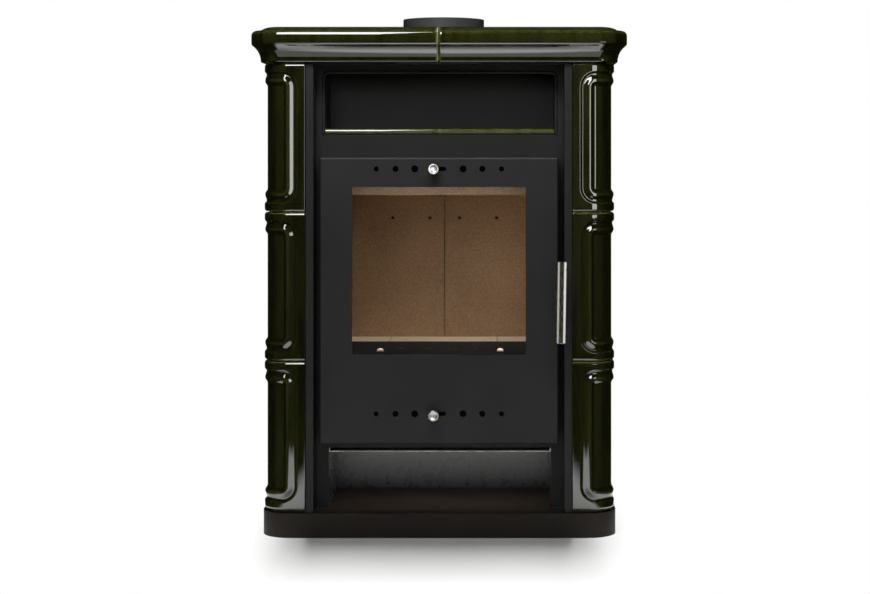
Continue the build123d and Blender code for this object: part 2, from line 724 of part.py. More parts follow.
def door_back_plate():
    """Plate behind the door's front, with a window, air slots and the rope channel."""
    y1 = DOOR_BACK_Y
    y0 = y1 - DOOR_PLATE_T
    y_rib = y1 + 6.0
    x = DOOR_HALF_W - DOOR_SHEET
    inner, outer = ROPE_R + 0.2, ROPE_R + 1.7
    window_lap = 17.0
    window_z0, window_z1 = GLASS_Z0 - 16.0, GLASS_Z1 + 16.0
    window_r = 6.0
    slot_pitch = 76.0
    slot_half_w = 32.0
    slot_half_h = 7.0
    slot_r = 6.5
    notch_x = -193.2
    plate = block(-x, x, y0, y1, DOOR_Z0 + DOOR_SHEET, DOOR_Z1 - DOOR_SHEET)
    plate += rope_band(outer, y1, y_rib) - rope_band(inner, y1, y_rib)
    plate += rope_band(-inner, y1, y_rib) - rope_band(-outer, y1, y_rib)
    window_x = GLASS_HALF_W + window_lap
    plate -= round_y_edges(block(-window_x, window_x, y0, y1, window_z0, window_z1), window_r)
    for i in (-1, 0, 1):
        slot = block(-slot_half_w, slot_half_w, y0, y1, LOWER_AIR_Z - slot_half_h, LOWER_AIR_Z + slot_half_h)
        plate -= Pos(i * slot_pitch, 0, 0) * round_y_edges(slot, slot_r)
    for z in HINGE_TONGUE_Z:
        plate -= block(-x, notch_x, y0, y_rib, z - TONGUE_SLOT_HALF, z + TONGUE_SLOT_HALF)
    return plate


def rope_band(grow, y0, y1):
    """Slab inside the rope's line, grown by the given amount."""
    slab = block(-ROPE_HALF_W - grow, ROPE_HALF_W + grow, y0, y1, ROPE_Z0 - grow, ROPE_Z1 + grow)
    return round_y_edges(slab, ROPE_CORNER_R + grow)


def rope_seal():
    """Rope ring pressed against the front panel when the door is shut."""
    y = DOOR_BACK_Y + ROPE_R
    x, z0, z1 = ROPE_HALF_W, ROPE_Z0, ROPE_Z1
    corners = [(-x, y, z0), (x, y, z0), (x, y, z1), (-x, y, z1)]
    path = FilletPolyline(*corners, radius=ROPE_CORNER_R, close=True)
    start = path @ 0
    section = Plane(origin=start, z_dir=path % 0) * Circle(ROPE_R)
    return sweep(section, path=path)


def glass_pane():
    y0 = DOOR_FRONT_Y + DOOR_SHEET + TAPE_T
    x = GLASS_HALF_W + GLASS_LAP
    return block(-x, x, y0, y0 + GLASS_T, GLASS_Z0 - GLASS_LAP, GLASS_Z1 + GLASS_LAP)


def glass_tape():
    y0 = DOOR_FRONT_Y + DOOR_SHEET
    x = GLASS_HALF_W + GLASS_LAP
    ring = block(-x, x, y0, y0 + TAPE_T, GLASS_Z0 - GLASS_LAP, GLASS_Z1 + GLASS_LAP)
    inset = 1.0
    x_in = GLASS_HALF_W + inset
    return ring - block(-x_in, x_in, y0, y0 + TAPE_T, GLASS_Z0 - inset, GLASS_Z1 + inset)


def clip_points():
    inset = 25.0
    return [(side, z) for side in (-1, 1) for z in (GLASS_Z0 + inset, GLASS_Z1 - inset)]


def glass_clips():
    """Four offset clips that press the pane's edge."""
    y0 = DOOR_FRONT_Y + DOOR_SHEET
    y1 = y0 + TAPE_T + GLASS_T
    half_h = 9.0
    tip_x = GLASS_HALF_W + 4.0
    foot_x = GLASS_HALF_W + GLASS_LAP + 0.5
    end_x = foot_x + 15.5
    clips = []
    for side, z in clip_points():
        finger = block(tip_x, end_x, y1, y1 + CLIP_SHEET, z - half_h, z + half_h)
        foot = block(foot_x, end_x, y0, y1, z - half_h, z + half_h)
        clip = finger + foot - rod_y(CLIP_SCREW_X, y0, y1 + CLIP_SHEET, z, CLIP_SCREW_R)
        clips.append(clip if side > 0 else other_side(clip))
    return clips


def glass_clip_screws():
    y0 = DOOR_FRONT_Y + DOOR_SHEET
    y1 = y0 + TAPE_T + GLASS_T + CLIP_SHEET
    head_r = 4.5
    head_l = 3.0
    return [
        rod_y(side * CLIP_SCREW_X, y0, y1, z, CLIP_SCREW_R)
        + rod_y(side * CLIP_SCREW_X, y1, y1 + head_l, z, head_r)
        for side, z in clip_points()
    ]


# ------------------------------------------------------------------ air slides
def air_slide(z):
    """Slide plate, shut at rest: its holes lie half a pitch beside the door's holes."""
    y0 = DOOR_FRONT_Y + DOOR_SHEET + SLIDE_GAP
    mid = -AIR_TRAVEL / 2
    slide = block(mid - SLIDE_HALF_W, mid + SLIDE_HALF_W, y0, y0 + SLIDE_T,
                  z - SLIDE_HALF_H, z + SLIDE_HALF_H)
    return slide - air_row(z, -AIR_TRAVEL)


def air_knob(z):
    """Turned knob with a rim and dished face, on its stem."""
    x = -AIR_TRAVEL / 2
    y0 = KNOB_FRONT_Y
    rim_r = 0.8
    rim_w = 1.8
    dish = 0.8
    knob = rod_y(x, y0, y0 + KNOB_L, z, KNOB_R)
    rims = [e for e in knob.edges() if e.geom_type == GeomType.CIRCLE]
    knob = fillet(rims, rim_r)
    knob -= rod_y(x, y0, y0 + dish, z, KNOB_R - rim_w)
    return knob + rod_y(x, y0 + KNOB_L, DOOR_FRONT_Y + DOOR_SHEET + SLIDE_GAP, z, STEM_R)


# ------------------------------------------------------------------ latch and handle
def handle_axis():
    """Frame on the tilted axis of the handle tube."""
    mid_z = (HANDLE_Z0 + HANDLE_Z1) / 2
    return Pos(HANDLE_X, HANDLE_Y, mid_z) * Rot(0, HANDLE_TILT, 0)


def handle_rod(z0, z1, radius):
    mid_z = (HANDLE_Z0 + HANDLE_Z1) / 2
    return handle_axis() * (Pos(0, 0, z0 - mid_z) * rod(radius, z1 - z0))


def latch_lever():
    """Flat lever in the gap beside the door: handle arm in front, hook behind."""
    arm_half = 7.0
    eye_r = 9.0
    hook_y0, hook_y1 = CATCH_Y + CATCH_R + 0.5, -157.8
    neck_z = LATCH_Z - 5.5
    low_z = LATCH_Z - 10.0
    nose_z = CATCH_Z - CATCH_R - 0.6
    lever = block(LATCH_X0, LATCH_X1, HANDLE_Y, LATCH_Y, LATCH_Z - arm_half, LATCH_Z + arm_half)
    lever += rod_x(LATCH_X0, LATCH_X1, LATCH_Y, LATCH_Z, eye_r)
    lever += block(LATCH_X0, LATCH_X1, LATCH_Y, hook_y1, low_z, neck_z)
    lever += block(LATCH_X0, LATCH_X1, hook_y0, hook_y1, low_z, nose_z)
    lever -= rod_x(LATCH_X0, LATCH_X1, LATCH_Y, LATCH_Z, LATCH_PIN_R + RUNNING_GAP)
    return lever - handle_rod(HANDLE_Z0, HANDLE_Z1, HANDLE_R)


def latch_pivot():
    """Shoulder pin through the door's edge, with its nut inside the door."""
    inner = DOOR_HALF_W - DOOR_SHEET
    nut_r = 7.0
    nut_l = 5.0
    clear = 0.3
    pin = rod_x(inner - nut_l - 1.0, LATCH_X1 + 3 * clear, LATCH_Y, LATCH_Z, LATCH_PIN_R)
    washer = rod_x(DOOR_HALF_W, LATCH_X0 - clear, LATCH_Y, LATCH_Z, nut_r)
    return pin + washer + rod_x(inner - nut_l, inner, LATCH_Y, LATCH_Z, nut_r)


def handle_tube():
    tube = handle_rod(HANDLE_Z0 + CAP_L, HANDLE_Z1 - CAP_L, HANDLE_R)
    return tube - handle_rod(HANDLE_Z0 + CAP_L, HANDLE_Z1 - CAP_L, HANDLE_BORE_R)


def handle_caps():
    """Turned end caps, each with a spigot in the tube and a thin groove at the joint."""
    groove_depth = 0.7
    plug_l = 8.0
    caps = []
    for z0, z1, inward in ((HANDLE_Z0, HANDLE_Z0 + CAP_L, 1), (HANDLE_Z1 - CAP_L, HANDLE_Z1, -1)):
        cap = handle_rod(z0, z1, HANDLE_R)
        joint = z1 if inward > 0 else z0
        ring_z0, ring_z1 = sorted((joint, joint - inward * CAP_GROOVE))
        cap -= handle_rod(ring_z0, ring_z1, HANDLE_R + 1.0)
        cap += handle_rod(ring_z0, ring_z1, HANDLE_R - groove_depth)
        plug_z0, plug_z1 = sorted((joint, joint + inward * plug_l))
        caps.append(cap + handle_rod(plug_z0, plug_z1, HANDLE_BORE_R))
    return caps


# ------------------------------------------------------------------ write every sub-part
os.makedirs("parts", exist_ok=True)

save("base_plinth", base_plinth())
save("right_side_frame", side_frame() + catch_stud())
save("left_side_frame", other_side(side_frame()))
save("front_panel", front_panel())
save("niche_liner", niche_liner())
save("niche_shelf_tile_right", niche_shelf_tile())
save("niche_shelf_tile_left", other_side(niche_shelf_tile()))
save("top_plate", top_plate())
save("rear_panel", rear_panel())
save("rear_panel_screws", *rear_panel_screws())
save("heat_shield", heat_shield())
save("wood_bay_liner", wood_bay_liner())
save_tiles()
save("tile_rails", *tile_rails())
save("ceramic_top_right", ceramic_top())
save("ceramic_top_left", other_side(ceramic_top()))
save("flue_collar", flue_collar())
save("flue_collar_screws", *flue_collar_screws())

save("firebox_shell", firebox_shell())
save("back_lining_right", back_lining())
save("back_lining_left", other_side(back_lining()))
save("side_lining_right", side_lining())
save("side_lining_left", other_side(side_lining()))
save("floor_brick_right", floor_brick_side())
save("floor_brick_left", other_side(floor_brick_side()))
save("floor_brick_centre", floor_brick_centre())
save("baffle", baffle())
save("fire_grate", fire_grate())
save("log_fence", log_fence())
save("ash_pan", ash_pan())

save("door_panel", door_panel())
save("door_back_plate", door_back_plate())
save("door_rope_seal", rope_seal())
save("door_glass", glass_pane())
save("glass_seal_tape", glass_tape())
save("glass_clips", *glass_clips())
save("glass_clip_screws", *glass_clip_screws())
save("hinge_pins", *hinge_pins())
save("hinge_brackets", *[hinge_bracket(z) for z in HINGE_TONGUE_Z])
save("upper_air_slide", air_slide(UPPER_AIR_Z))
save("upper_air_knob", air_knob(UPPER_AIR_Z))
save("lower_air_slide", air_slide(LOWER_AIR_Z))
save("lower_air_knob", air_knob(LOWER_AIR_Z))
save("latch_lever", latch_lever())
save("latch_pivot", latch_pivot())
save("handle_tube", handle_tube())
save("handle_caps", *handle_caps())
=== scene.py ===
import json
import math

import bmesh
import bpy
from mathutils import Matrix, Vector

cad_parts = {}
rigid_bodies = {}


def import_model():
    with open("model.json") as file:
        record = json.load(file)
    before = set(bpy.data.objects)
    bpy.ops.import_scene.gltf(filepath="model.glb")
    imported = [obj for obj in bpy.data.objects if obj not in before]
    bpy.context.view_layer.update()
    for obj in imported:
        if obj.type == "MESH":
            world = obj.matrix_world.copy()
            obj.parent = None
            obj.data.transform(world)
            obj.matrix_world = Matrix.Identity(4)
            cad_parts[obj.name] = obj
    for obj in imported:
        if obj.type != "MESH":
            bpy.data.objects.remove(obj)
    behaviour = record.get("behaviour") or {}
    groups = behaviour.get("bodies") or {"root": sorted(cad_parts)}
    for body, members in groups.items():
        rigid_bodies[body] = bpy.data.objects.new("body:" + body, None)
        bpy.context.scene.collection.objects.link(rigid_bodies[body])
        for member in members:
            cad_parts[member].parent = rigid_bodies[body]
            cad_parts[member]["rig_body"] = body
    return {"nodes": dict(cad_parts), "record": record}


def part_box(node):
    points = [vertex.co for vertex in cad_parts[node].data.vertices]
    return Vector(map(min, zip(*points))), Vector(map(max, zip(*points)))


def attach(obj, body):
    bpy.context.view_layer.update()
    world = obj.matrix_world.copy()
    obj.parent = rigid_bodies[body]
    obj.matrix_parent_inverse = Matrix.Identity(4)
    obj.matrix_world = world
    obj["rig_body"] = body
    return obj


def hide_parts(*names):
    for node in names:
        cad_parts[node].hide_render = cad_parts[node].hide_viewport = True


bl_info = {
    "name": "Tiled wood stove",
    "version": (1, 0, 0),
    "blender": (4, 5, 0),
    "location": "3D View > Sidebar > Stove",
    "description": "Glazed tiles, moulded top, handle, knobs and finishes on the stove's steel frame",
    "category": "Object",
}

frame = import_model()
NODES = frame["nodes"]
SLOTS = {part["node"]: part["material_slot"] for part in frame["record"]["subparts"]}
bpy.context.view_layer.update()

MM = 0.001
TINY = 0.02 * MM
QUARTER = math.pi / 2
ROWS = ("lower", "middle", "upper")
SIDES = ("right", "left")


# ------------------------------------------------------------------ sizes and colours a user may change
def length(name, description, default_mm):
    return bpy.props.FloatProperty(
        name=name, description=description, default=default_mm * MM, min=0.0, unit="LENGTH", precision=4)


def colour(name, description, default_hex):
    return bpy.props.FloatVectorProperty(
        name=name, description=description, default=linear(default_hex), size=3, min=0.0, max=1.0,
        subtype="COLOR")


def linear(hex_colour):
    """sRGB hex to linear red, green and blue."""
    parts = [int(hex_colour[i:i + 2], 16) / 255 for i in (1, 3, 5)]
    return tuple(c / 12.92 if c <= 0.04045 else ((c + 0.055) / 1.055) ** 2.4 for c in parts)


class TileSizes(bpy.types.PropertyGroup):
    wall: length("Wall", "Thickness of the tile from its raised band to its back", 14)
    edge_radius: length("Edge radius", "Rounding of the tile's outer edges", 4.5)
    inner_radius: length("Inner edge radius", "Rounding of the edge beside the steel", 1.5)
    corner_radius: length("Corner radius", "Radius of the stove's round corner", 41)
    band: length("Band", "Width of the flat band round the moulding", 12.5)
    frame_radius: length("Frame radius", "Radius of the moulding's own corners", 28)


class TopSizes(bpy.types.PropertyGroup):
    corner_radius: length("Corner radius", "Radius of the top's front corners at the nosing", 50)
    seam_radius: length("Seam radius", "Rounding of the edges where the two halves meet", 3.0)
    field: length("Field", "Thickness of the top's flat middle", 18)
    flue_hole: length("Flue hole", "Radius of the hole round the flue collar", 84)


class HandleSizes(bpy.types.PropertyGroup):
    radius: length("Radius", "Radius of the handle tube", 9)
    cap: length("Cap", "Length of each turned end cap", 14)
    groove: length("Groove", "Width of the groove between tube and cap", 1)
    rim: length("Rim", "Rounding of the caps' outer ends", 1.2)
    knob_radius: length("Knob radius", "Radius of the air knobs", 9)
    knob_length: length("Knob length", "Length of the air knobs without their stems", 19)
    stem_radius: length("Stem radius", "Radius of the knobs' stems", 3)


class FinishColours(bpy.types.PropertyGroup):
    glaze_deep: colour("Deep glaze", "Glaze where it lies thick", "#1e2107")
    glaze_thin: colour("Thin glaze", "Glaze where it draws back from an edge", "#868b40")
    steel_paint: colour("Steel paint", "Heat-proof paint of the casing and the door", "#313132")
    plinth_paint: colour("Plinth paint", "Paint of the plinth", "#261f19")
    fire_board: colour("Fire board", "Pressed fire board of the lining", "#b0957a")


SIZE_GROUPS = {
    "stove_tiles": TileSizes,
    "stove_top": TopSizes,
    "stove_handle": HandleSizes,
    "stove_colours": FinishColours,
}


# ------------------------------------------------------------------ modelling helpers
def object_mode():
    if bpy.context.object and bpy.context.object.mode != "OBJECT":
        bpy.ops.object.mode_set(mode="OBJECT")


def only(piece):
    """Make one object the selected and active one."""
    object_mode()
    bpy.ops.object.select_all(action="DESELECT")
    piece.select_set(True)
    bpy.context.view_layer.objects.active = piece


def begin(name, add, **place):
    """Add a primitive where the piece goes and open it in edit mode."""
    object_mode()
    bpy.ops.object.select_all(action="DESELECT")
    add(**place)
    piece = bpy.context.object
    piece.name = piece.data.name = name
    bpy.ops.object.transform_apply(location=True, rotation=True, scale=True)
    bpy.ops.object.mode_set(mode="EDIT")
    bpy.ops.mesh.select_mode(type="VERT")
    return piece


def pick(kind, rule):
    """Select the open mesh's verts, edges or faces that the rule names."""
    mesh = bmesh.from_edit_mesh(bpy.context.object.data)
    bpy.ops.mesh.select_mode(type={"verts": "VERT", "edges": "EDGE", "faces": "FACE"}[kind])
    bpy.ops.mesh.select_all(action="DESELECT")
    for element in getattr(mesh, kind):
        if rule(element):
            element.select_set(True)
    mesh.select_flush_mode()
    bmesh.update_edit_mesh(bpy.context.object.data)


def all_verts(element, rule):
    return all(rule(v.co) for v in element.verts)


def apply(piece, kind, **settings):
    """Add a modifier with its settings and apply it."""
    only(piece)
    modifier = piece.modifiers.new(kind.title(), kind)
    for key, value in settings.items():
        setattr(modifier, key, value)
    bpy.ops.object.modifier_apply(modifier=modifier.name)


def outward(piece):
    only(piece)
    bpy.ops.object.mode_set(mode="EDIT")
    bpy.ops.mesh.select_all(action="SELECT")
    bpy.ops.mesh.remove_doubles(threshold=TINY)
    bpy.ops.mesh.normals_make_consistent(inside=False)
    bpy.ops.object.mode_set(mode="OBJECT")


def smooth(piece, angle):
    """Smooth shading up to an angle, with flat faces kept flat."""
    only(piece)
    bpy.ops.object.shade_smooth_by_angle(angle=math.radians(angle))
    apply(piece, "WEIGHTED_NORMAL", keep_sharp=True)


def copy_of(piece, name, mirror=False, lift=0.0):
    """A copy with its own mesh, raised and, if asked, mirrored to the stove's other side."""
    twin = piece.copy()
    twin.data = piece.data.copy()
    twin.name = twin.data.name = name
    bpy.context.scene.collection.objects.link(twin)
    only(twin)
    twin.location.z = lift
    twin.scale.x = -1.0 if mirror else 1.0
    bpy.ops.object.transform_apply(location=True, rotation=True, scale=True)
    if mirror:
        outward(twin)
    return twin


def fit(piece, *nodes):
    """The piece stands for CAD nodes: it rides with them and has their slot."""
    piece.data.materials.clear()
    piece.data.materials.append(MATERIALS[SLOTS[nodes[0]]])
    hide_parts(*nodes)
    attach(piece, NODES[nodes[0]]["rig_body"])


def note_glaze(piece, rule):
    """Store how thin the glaze lies at each point: it draws back from edges and ridges, and at joints the
    value also brings in a pale colour that is partly a painted highlight.
    """
    attribute = piece.data.attributes.new("thin_glaze", "FLOAT", "POINT")
    attribute.data.foreach_set("value", [rule(vert.co) for vert in piece.data.vertices])


def falling(distance, reach):
    """1 at distance 0, falling smoothly to 0 at reach."""
    t = max(0.0, 1.0 - abs(distance) / reach)
    return t * t * (3 - 2 * t)


def thin_line(distance, line):
    """Thinness near a line given as (its place, its reach to both sides, how thin the glaze is on it)."""
    place, reach, thinness = line
    return thinness * falling(distance - place, reach)


# ------------------------------------------------------------------ materials
def join(tree, made, links):
    """Link a node's inputs, given as input: (node, output)."""
    for key, (source, output) in links.items():
        tree.links.new(source.outputs[output], made.inputs[key])


def node(tree, kind, inputs=None, links=None, stops=(), **settings):
    """One shader node: settings, constant inputs, links, and a ramp's stops as (place, linear colour)."""
    made = tree.nodes.new("ShaderNode" + kind)
    for key, value in settings.items():
        setattr(made, key, value)
    for key, value in (inputs or {}).items():
        made.inputs[key].default_value = value
    if stops:
        elements = made.color_ramp.elements
        elements.remove(elements[1])
        elements[0].position, elements[0].color = stops[0][0], (*stops[0][1], 1)
        for place, rgb in stops[1:]:
            elements.new(place).color = (*rgb, 1)
    join(tree, made, links or {})
    return made


def grey(value):
    return (value, value, value)


def shade(rgb, factor):
    return tuple(min(1.0, c * factor) for c in rgb)


def per(size_mm):
    """Scale that makes a pattern's cells this wide."""
    return 1 / (size_mm * MM)


def dress(tree, shader, tint=None, gloss=None, relief=None):
    """Link a material's colour, roughness and relief to its shader."""
    sockets = {"Base Color": (tint, "Color"), "Roughness": (gloss, "Color"), "Normal": (relief, "Normal")}
    join(tree, shader, {key: link for key, link in sockets.items() if link[0]})


def surface(name, inputs):
    """A material with a Principled shader whose constant sockets are given."""
    material = bpy.data.materials.new(name)
    material.use_nodes = True
    tree = material.node_tree
    shader = tree.nodes["Principled BSDF"]
    for key, value in inputs.items():
        shader.inputs[key].default_value = value
    place = node(tree, "TexCoord")
    return material, tree, shader, place


def baked_paint(name, rgb, rough, grain_mm=1.2, specular=0.3):
    """Heat-proof paint, sprayed and baked: a dense matt film with a fine grain and a faint cloudiness.

    The grain is drawn coarser than the paint's own, so that it shows.
    """
    material, tree, shader, place = surface(name, {"IOR": 1.5, "Specular IOR Level": specular})
    grain = node(tree, "TexNoise", {"Scale": per(grain_mm), "Detail": 3.0}, {"Vector": (place, "Object")})
    cloud = node(tree, "TexNoise", {"Scale": per(111), "Detail": 2.0}, {"Vector": (place, "Object")})
    tint = node(tree, "ValToRGB", links={"Fac": (cloud, "Fac")},
                stops=[(0.3, shade(rgb, 0.9)), (0.7, shade(rgb, 1.1))])
    gloss = node(tree, "ValToRGB", links={"Fac": (grain, "Fac")},
                 stops=[(0.3, grey(rough - 0.05)), (0.7, grey(rough + 0.05))])
    relief = node(tree, "Bump", {"Strength": 0.25, "Distance": 0.08 * MM}, {"Height": (grain, "Fac")})
    dress(tree, shader, tint, gloss, relief)
    return material


def fused_enamel():
    """Black enamel fused on sheet: it flowed level, so it shines softly, a little duller in patches."""
    material, tree, shader, place = surface("fused black enamel", {"IOR": 1.5})
    patch = node(tree, "TexNoise", {"Scale": per(16.7), "Detail": 1.0}, {"Vector": (place, "Object")})
    tint = node(tree, "ValToRGB", links={"Fac": (patch, "Fac")},
                stops=[(0.3, linear("#272726")), (0.7, linear("#2d2d2c"))])
    gloss = node(tree, "ValToRGB", links={"Fac": (patch, "Fac")}, stops=[(0.3, grey(0.26)), (0.7, grey(0.3))])
    dress(tree, shader, tint, gloss)
    return material


def bottle_green_glaze(deep, thin):
    """Bottle-green glaze fired on pressed clay: deep and glassy, paler where it draws back from an edge."""
    material, tree, shader, place = surface("fired bottle-green glaze", {
        "IOR": 1.8, "Roughness": 0.05, "Coat Weight": 1.0, "Coat Roughness": 0.02, "Coat IOR": 1.8})
    # the glaze ran down while it was wet, so its streaks are narrow and long
    wide, long = per(14.3), per(111)
    runs = node(tree, "Mapping", {"Scale": (wide, wide, long)}, {"Vector": (place, "Object")})
    streak = node(tree, "TexNoise", {"Scale": 1.0, "Detail": 2.0}, {"Vector": (runs, "Vector")})
    edge = node(tree, "Attribute", attribute_name="thin_glaze")
    pooled = node(tree, "ValToRGB", links={"Fac": (streak, "Fac")},
                  stops=[(0.3, shade(deep, 0.45)), (0.7, shade(deep, 1.6))])
    drawn = node(tree, "ValToRGB", links={"Fac": (streak, "Fac")},
                 stops=[(0.2, grey(0.35)), (0.7, grey(1.0))])
    factor = node(tree, "Math", links={0: (edge, "Fac"), 1: (drawn, "Color")}, operation="MULTIPLY")
    mixed = node(tree, "MixRGB", {"Color2": (*thin, 1)},
                 {"Fac": (factor, "Value"), "Color1": (pooled, "Color")})
    # at a joint the glaze is thinnest and the clay shows through, but the pale colour there is paler than the
    # clay: a painted highlight on the rounded edges
    pale_clay_and_highlight = node(tree, "MapRange", {"From Min": 0.55, "From Max": 0.95}, {"Value": (edge, "Fac")})
    seam = node(tree, "MixRGB", {"Color2": (*linear("#b9bd84"), 1)},
                {"Fac": (pale_clay_and_highlight, "Result"), "Color1": (mixed, "Color")})
    # fired glaze settles in slow waves a few centimetres long, which bend every reflection a little
    wave = node(tree, "TexNoise", {"Scale": per(35.7), "Detail": 1.0}, {"Vector": (place, "Object")})
    relief = node(tree, "Bump", {"Strength": 0.2, "Distance": 0.5 * MM}, {"Height": (wave, "Fac")})
    dress(tree, shader, seam, relief=relief)
    join(tree, shader, {"Coat Normal": (relief, "Normal")})
    return material


def brushed_stainless():
    """Austenitic steel ground on a belt: fine parallel scratches that spread the light across them.

    The scratches are drawn 0.4 mm wide, coarser than the belt's grit leaves them, so that they show.
    """
    material, tree, shader, place = surface("belt-ground stainless", {"Metallic": 1.0})
    wide, long = per(0.4), per(16.7)
    belt = node(tree, "Mapping", {"Scale": (wide, wide, long)}, {"Vector": (place, "Object")})
    scratch = node(tree, "TexNoise", {"Scale": 1.0, "Detail": 4.0}, {"Vector": (belt, "Vector")})
    tint = node(tree, "ValToRGB", links={"Fac": (scratch, "Fac")},
                stops=[(0.3, linear("#b9b7b2")), (0.7, linear("#d8d6d0"))])
    gloss = node(tree, "ValToRGB", links={"Fac": (scratch, "Fac")},
                 stops=[(0.25, grey(0.18)), (0.75, grey(0.34))])
    relief = node(tree, "Bump", {"Strength": 0.12, "Distance": 0.05 * MM}, {"Height": (scratch, "Fac")})
    dress(tree, shader, tint, gloss, relief)
    return material


def aluminised_sheet():
    """Hot-dipped sheet: pale grey with soft crystal patches about 9 mm wide."""
    material, tree, shader, place = surface("hot-dipped sheet", {"Metallic": 1.0})
    patch = node(tree, "TexVoronoi", {"Scale": per(9.1)}, {"Vector": (place, "Object")})
    tint = node(tree, "ValToRGB", links={"Fac": (patch, "Color")},
                stops=[(0.2, linear("#8d8c86")), (0.8, linear("#bdbbb2"))])
    gloss = node(tree, "ValToRGB", links={"Fac": (patch, "Distance")},
                 stops=[(0.0, grey(0.3)), (1.0, grey(0.45))])
    relief = node(tree, "Bump", {"Strength": 0.1, "Distance": 0.05 * MM}, {"Height": (patch, "Distance")})
    dress(tree, shader, tint, gloss, relief)
    return material


def pressed_fire_board(rgb):
    """Mineral flakes pressed to board: grains of about 2.4 mm, some dark, some golden, and wide stains."""
    material, tree, shader, place = surface("pressed fire board", {"Roughness": 0.92, "IOR": 1.45})
    flake = node(tree, "TexVoronoi", {"Scale": per(2.38)}, {"Vector": (place, "Object")})
    stain = node(tree, "TexNoise", {"Scale": per(143), "Detail": 4.0}, {"Vector": (place, "Object")})
    flakes = node(tree, "ValToRGB", links={"Fac": (flake, "Color")}, stops=[
        (0.1, shade(rgb, 0.82)), (0.45, rgb), (0.8, shade(rgb, 1.1)), (1.0, shade(rgb, 1.3))])
    stains = node(tree, "ValToRGB", links={"Fac": (stain, "Fac")},
                  stops=[(0.35, grey(0.82)), (0.65, grey(1.0))])
    tint = node(tree, "MixRGB", {"Fac": 1.0}, {"Color1": (flakes, "Color"), "Color2": (stains, "Color")},
                blend_type="MULTIPLY")
    # faces that point upwards are painted paler, as painted light falling on them from above
    parts = node(tree, "SeparateXYZ", links={0: (place, "Normal")})
    painted_top_light = node(tree, "MapRange", {"From Min": 0.7, "From Max": 0.95, "To Max": 0.8}, {"Value": (parts, "Z")})
    lit_tops = node(tree, "MixRGB", {"Color2": (*linear("#ded3c2"), 1)},
                  {"Fac": (painted_top_light, "Result"), "Color1": (tint, "Color")})
    relief = node(tree, "Bump", {"Strength": 0.25, "Distance": 0.4 * MM}, {"Height": (flake, "Distance")})
    dress(tree, shader, lit_tops, relief=relief)
    return material


def cast_iron():
    """Grey iron from a sand mould: dark, with a sandy skin of about 1 mm grain."""
    material, tree, shader, place = surface("sand-cast iron", {"Metallic": 0.6})
    sand = node(tree, "TexNoise", {"Scale": per(1.11), "Detail": 4.0}, {"Vector": (place, "Object")})
    tint = node(tree, "ValToRGB", links={"Fac": (sand, "Fac")},
                stops=[(0.3, linear("#2a2927")), (0.7, linear("#45423d"))])
    gloss = node(tree, "ValToRGB", links={"Fac": (sand, "Fac")}, stops=[(0.3, grey(0.5)), (0.7, grey(0.7))])
    relief = node(tree, "Bump", {"Strength": 0.6, "Distance": 0.3 * MM}, {"Height": (sand, "Fac")})
    dress(tree, shader, tint, gloss, relief)
    return material


def zinc_plate():
    """Bright zinc on turned steel: cool grey, with a faint grain drawn coarse enough to show."""
    material, tree, shader, place = surface("zinc-plated steel", {"Metallic": 1.0})
    grain = node(tree, "TexNoise", {"Scale": per(0.667), "Detail": 2.0}, {"Vector": (place, "Object")})
    tint = node(tree, "ValToRGB", links={"Fac": (grain, "Fac")},
                stops=[(0.3, linear("#8f9296")), (0.7, linear("#b0b3b6"))])
    gloss = node(tree, "ValToRGB", links={"Fac": (grain, "Fac")}, stops=[(0.3, grey(0.25)), (0.7, grey(0.4))])
    dress(tree, shader, tint, gloss)
    return material


def ceramic_glass():
    """Rolled glass ceramic: clear with a faint smoky tint, and very slightly uneven."""
    material, tree, shader, place = surface("rolled glass ceramic", {
        "Base Color": (*linear("#e6e0d8"), 1), "Roughness": 0.0, "IOR": 1.5, "Transmission Weight": 1.0})
    roll = node(tree, "TexNoise", {"Scale": per(111), "Detail": 1.0}, {"Vector": (place, "Object")})
    relief = node(tree, "Bump", {"Strength": 0.005, "Distance": 0.3 * MM}, {"Height": (roll, "Fac")})
    dress(tree, shader, relief=relief)
    return material


def knitted_glass_rope():
    """Knitted glass yarn: dark grey loops about 3 mm wide, dull and soft."""
    material, tree, shader, place = surface("knitted glass yarn", {"Roughness": 0.95, "Sheen Weight": 0.3})
    # on a flat face the diagonal bands of this texture repeat after 0.44 of its size, here 2.8 mm
    loops = node(tree, "TexWave", {"Scale": per(6.25), "Distortion": 3.0, "Detail": 2.0},
                 {"Vector": (place, "Object")}, bands_direction="DIAGONAL")
    tint = node(tree, "ValToRGB", links={"Fac": (loops, "Fac")},
                stops=[(0.2, linear("#26262a")), (0.8, linear("#5a5a5c"))])
    relief = node(tree, "Bump", {"Strength": 0.8, "Distance": 1.0 * MM}, {"Height": (loops, "Fac")})
    dress(tree, shader, tint, relief=relief)
    return material


MATERIALS = {}


def make_materials(colours):
    deep, thin = tuple(colours.glaze_deep), tuple(colours.glaze_thin)
    MATERIALS.update({
        "matt_black_steel": baked_paint("baked heat-proof paint", tuple(colours.steel_paint), rough=0.52),
        # the slide plates behind the air holes are painted near-black with little shine, as painted shade:
        # they stand for the shade inside the holes
        "slide_steel": baked_paint("blackened sheet", linear("#050505"), rough=0.8, specular=0.08),
        "bay_enamel": fused_enamel(),
        "plinth_steel": baked_paint("baked plinth paint", tuple(colours.plinth_paint), rough=0.55),
        "collar_steel": baked_paint("baked collar paint", linear("#545557"), rough=0.42, grain_mm=1.0),
        "fastener_steel": zinc_plate(),
        "galvanised_sheet": aluminised_sheet(),
        "stainless_steel": brushed_stainless(),
        "green_glaze": bottle_green_glaze(deep, thin),
        "fire_board": pressed_fire_board(tuple(colours.fire_board)),
        "grate_iron": cast_iron(),
        "fire_glass": ceramic_glass(),
        "glass_rope": knitted_glass_rope(),
    })


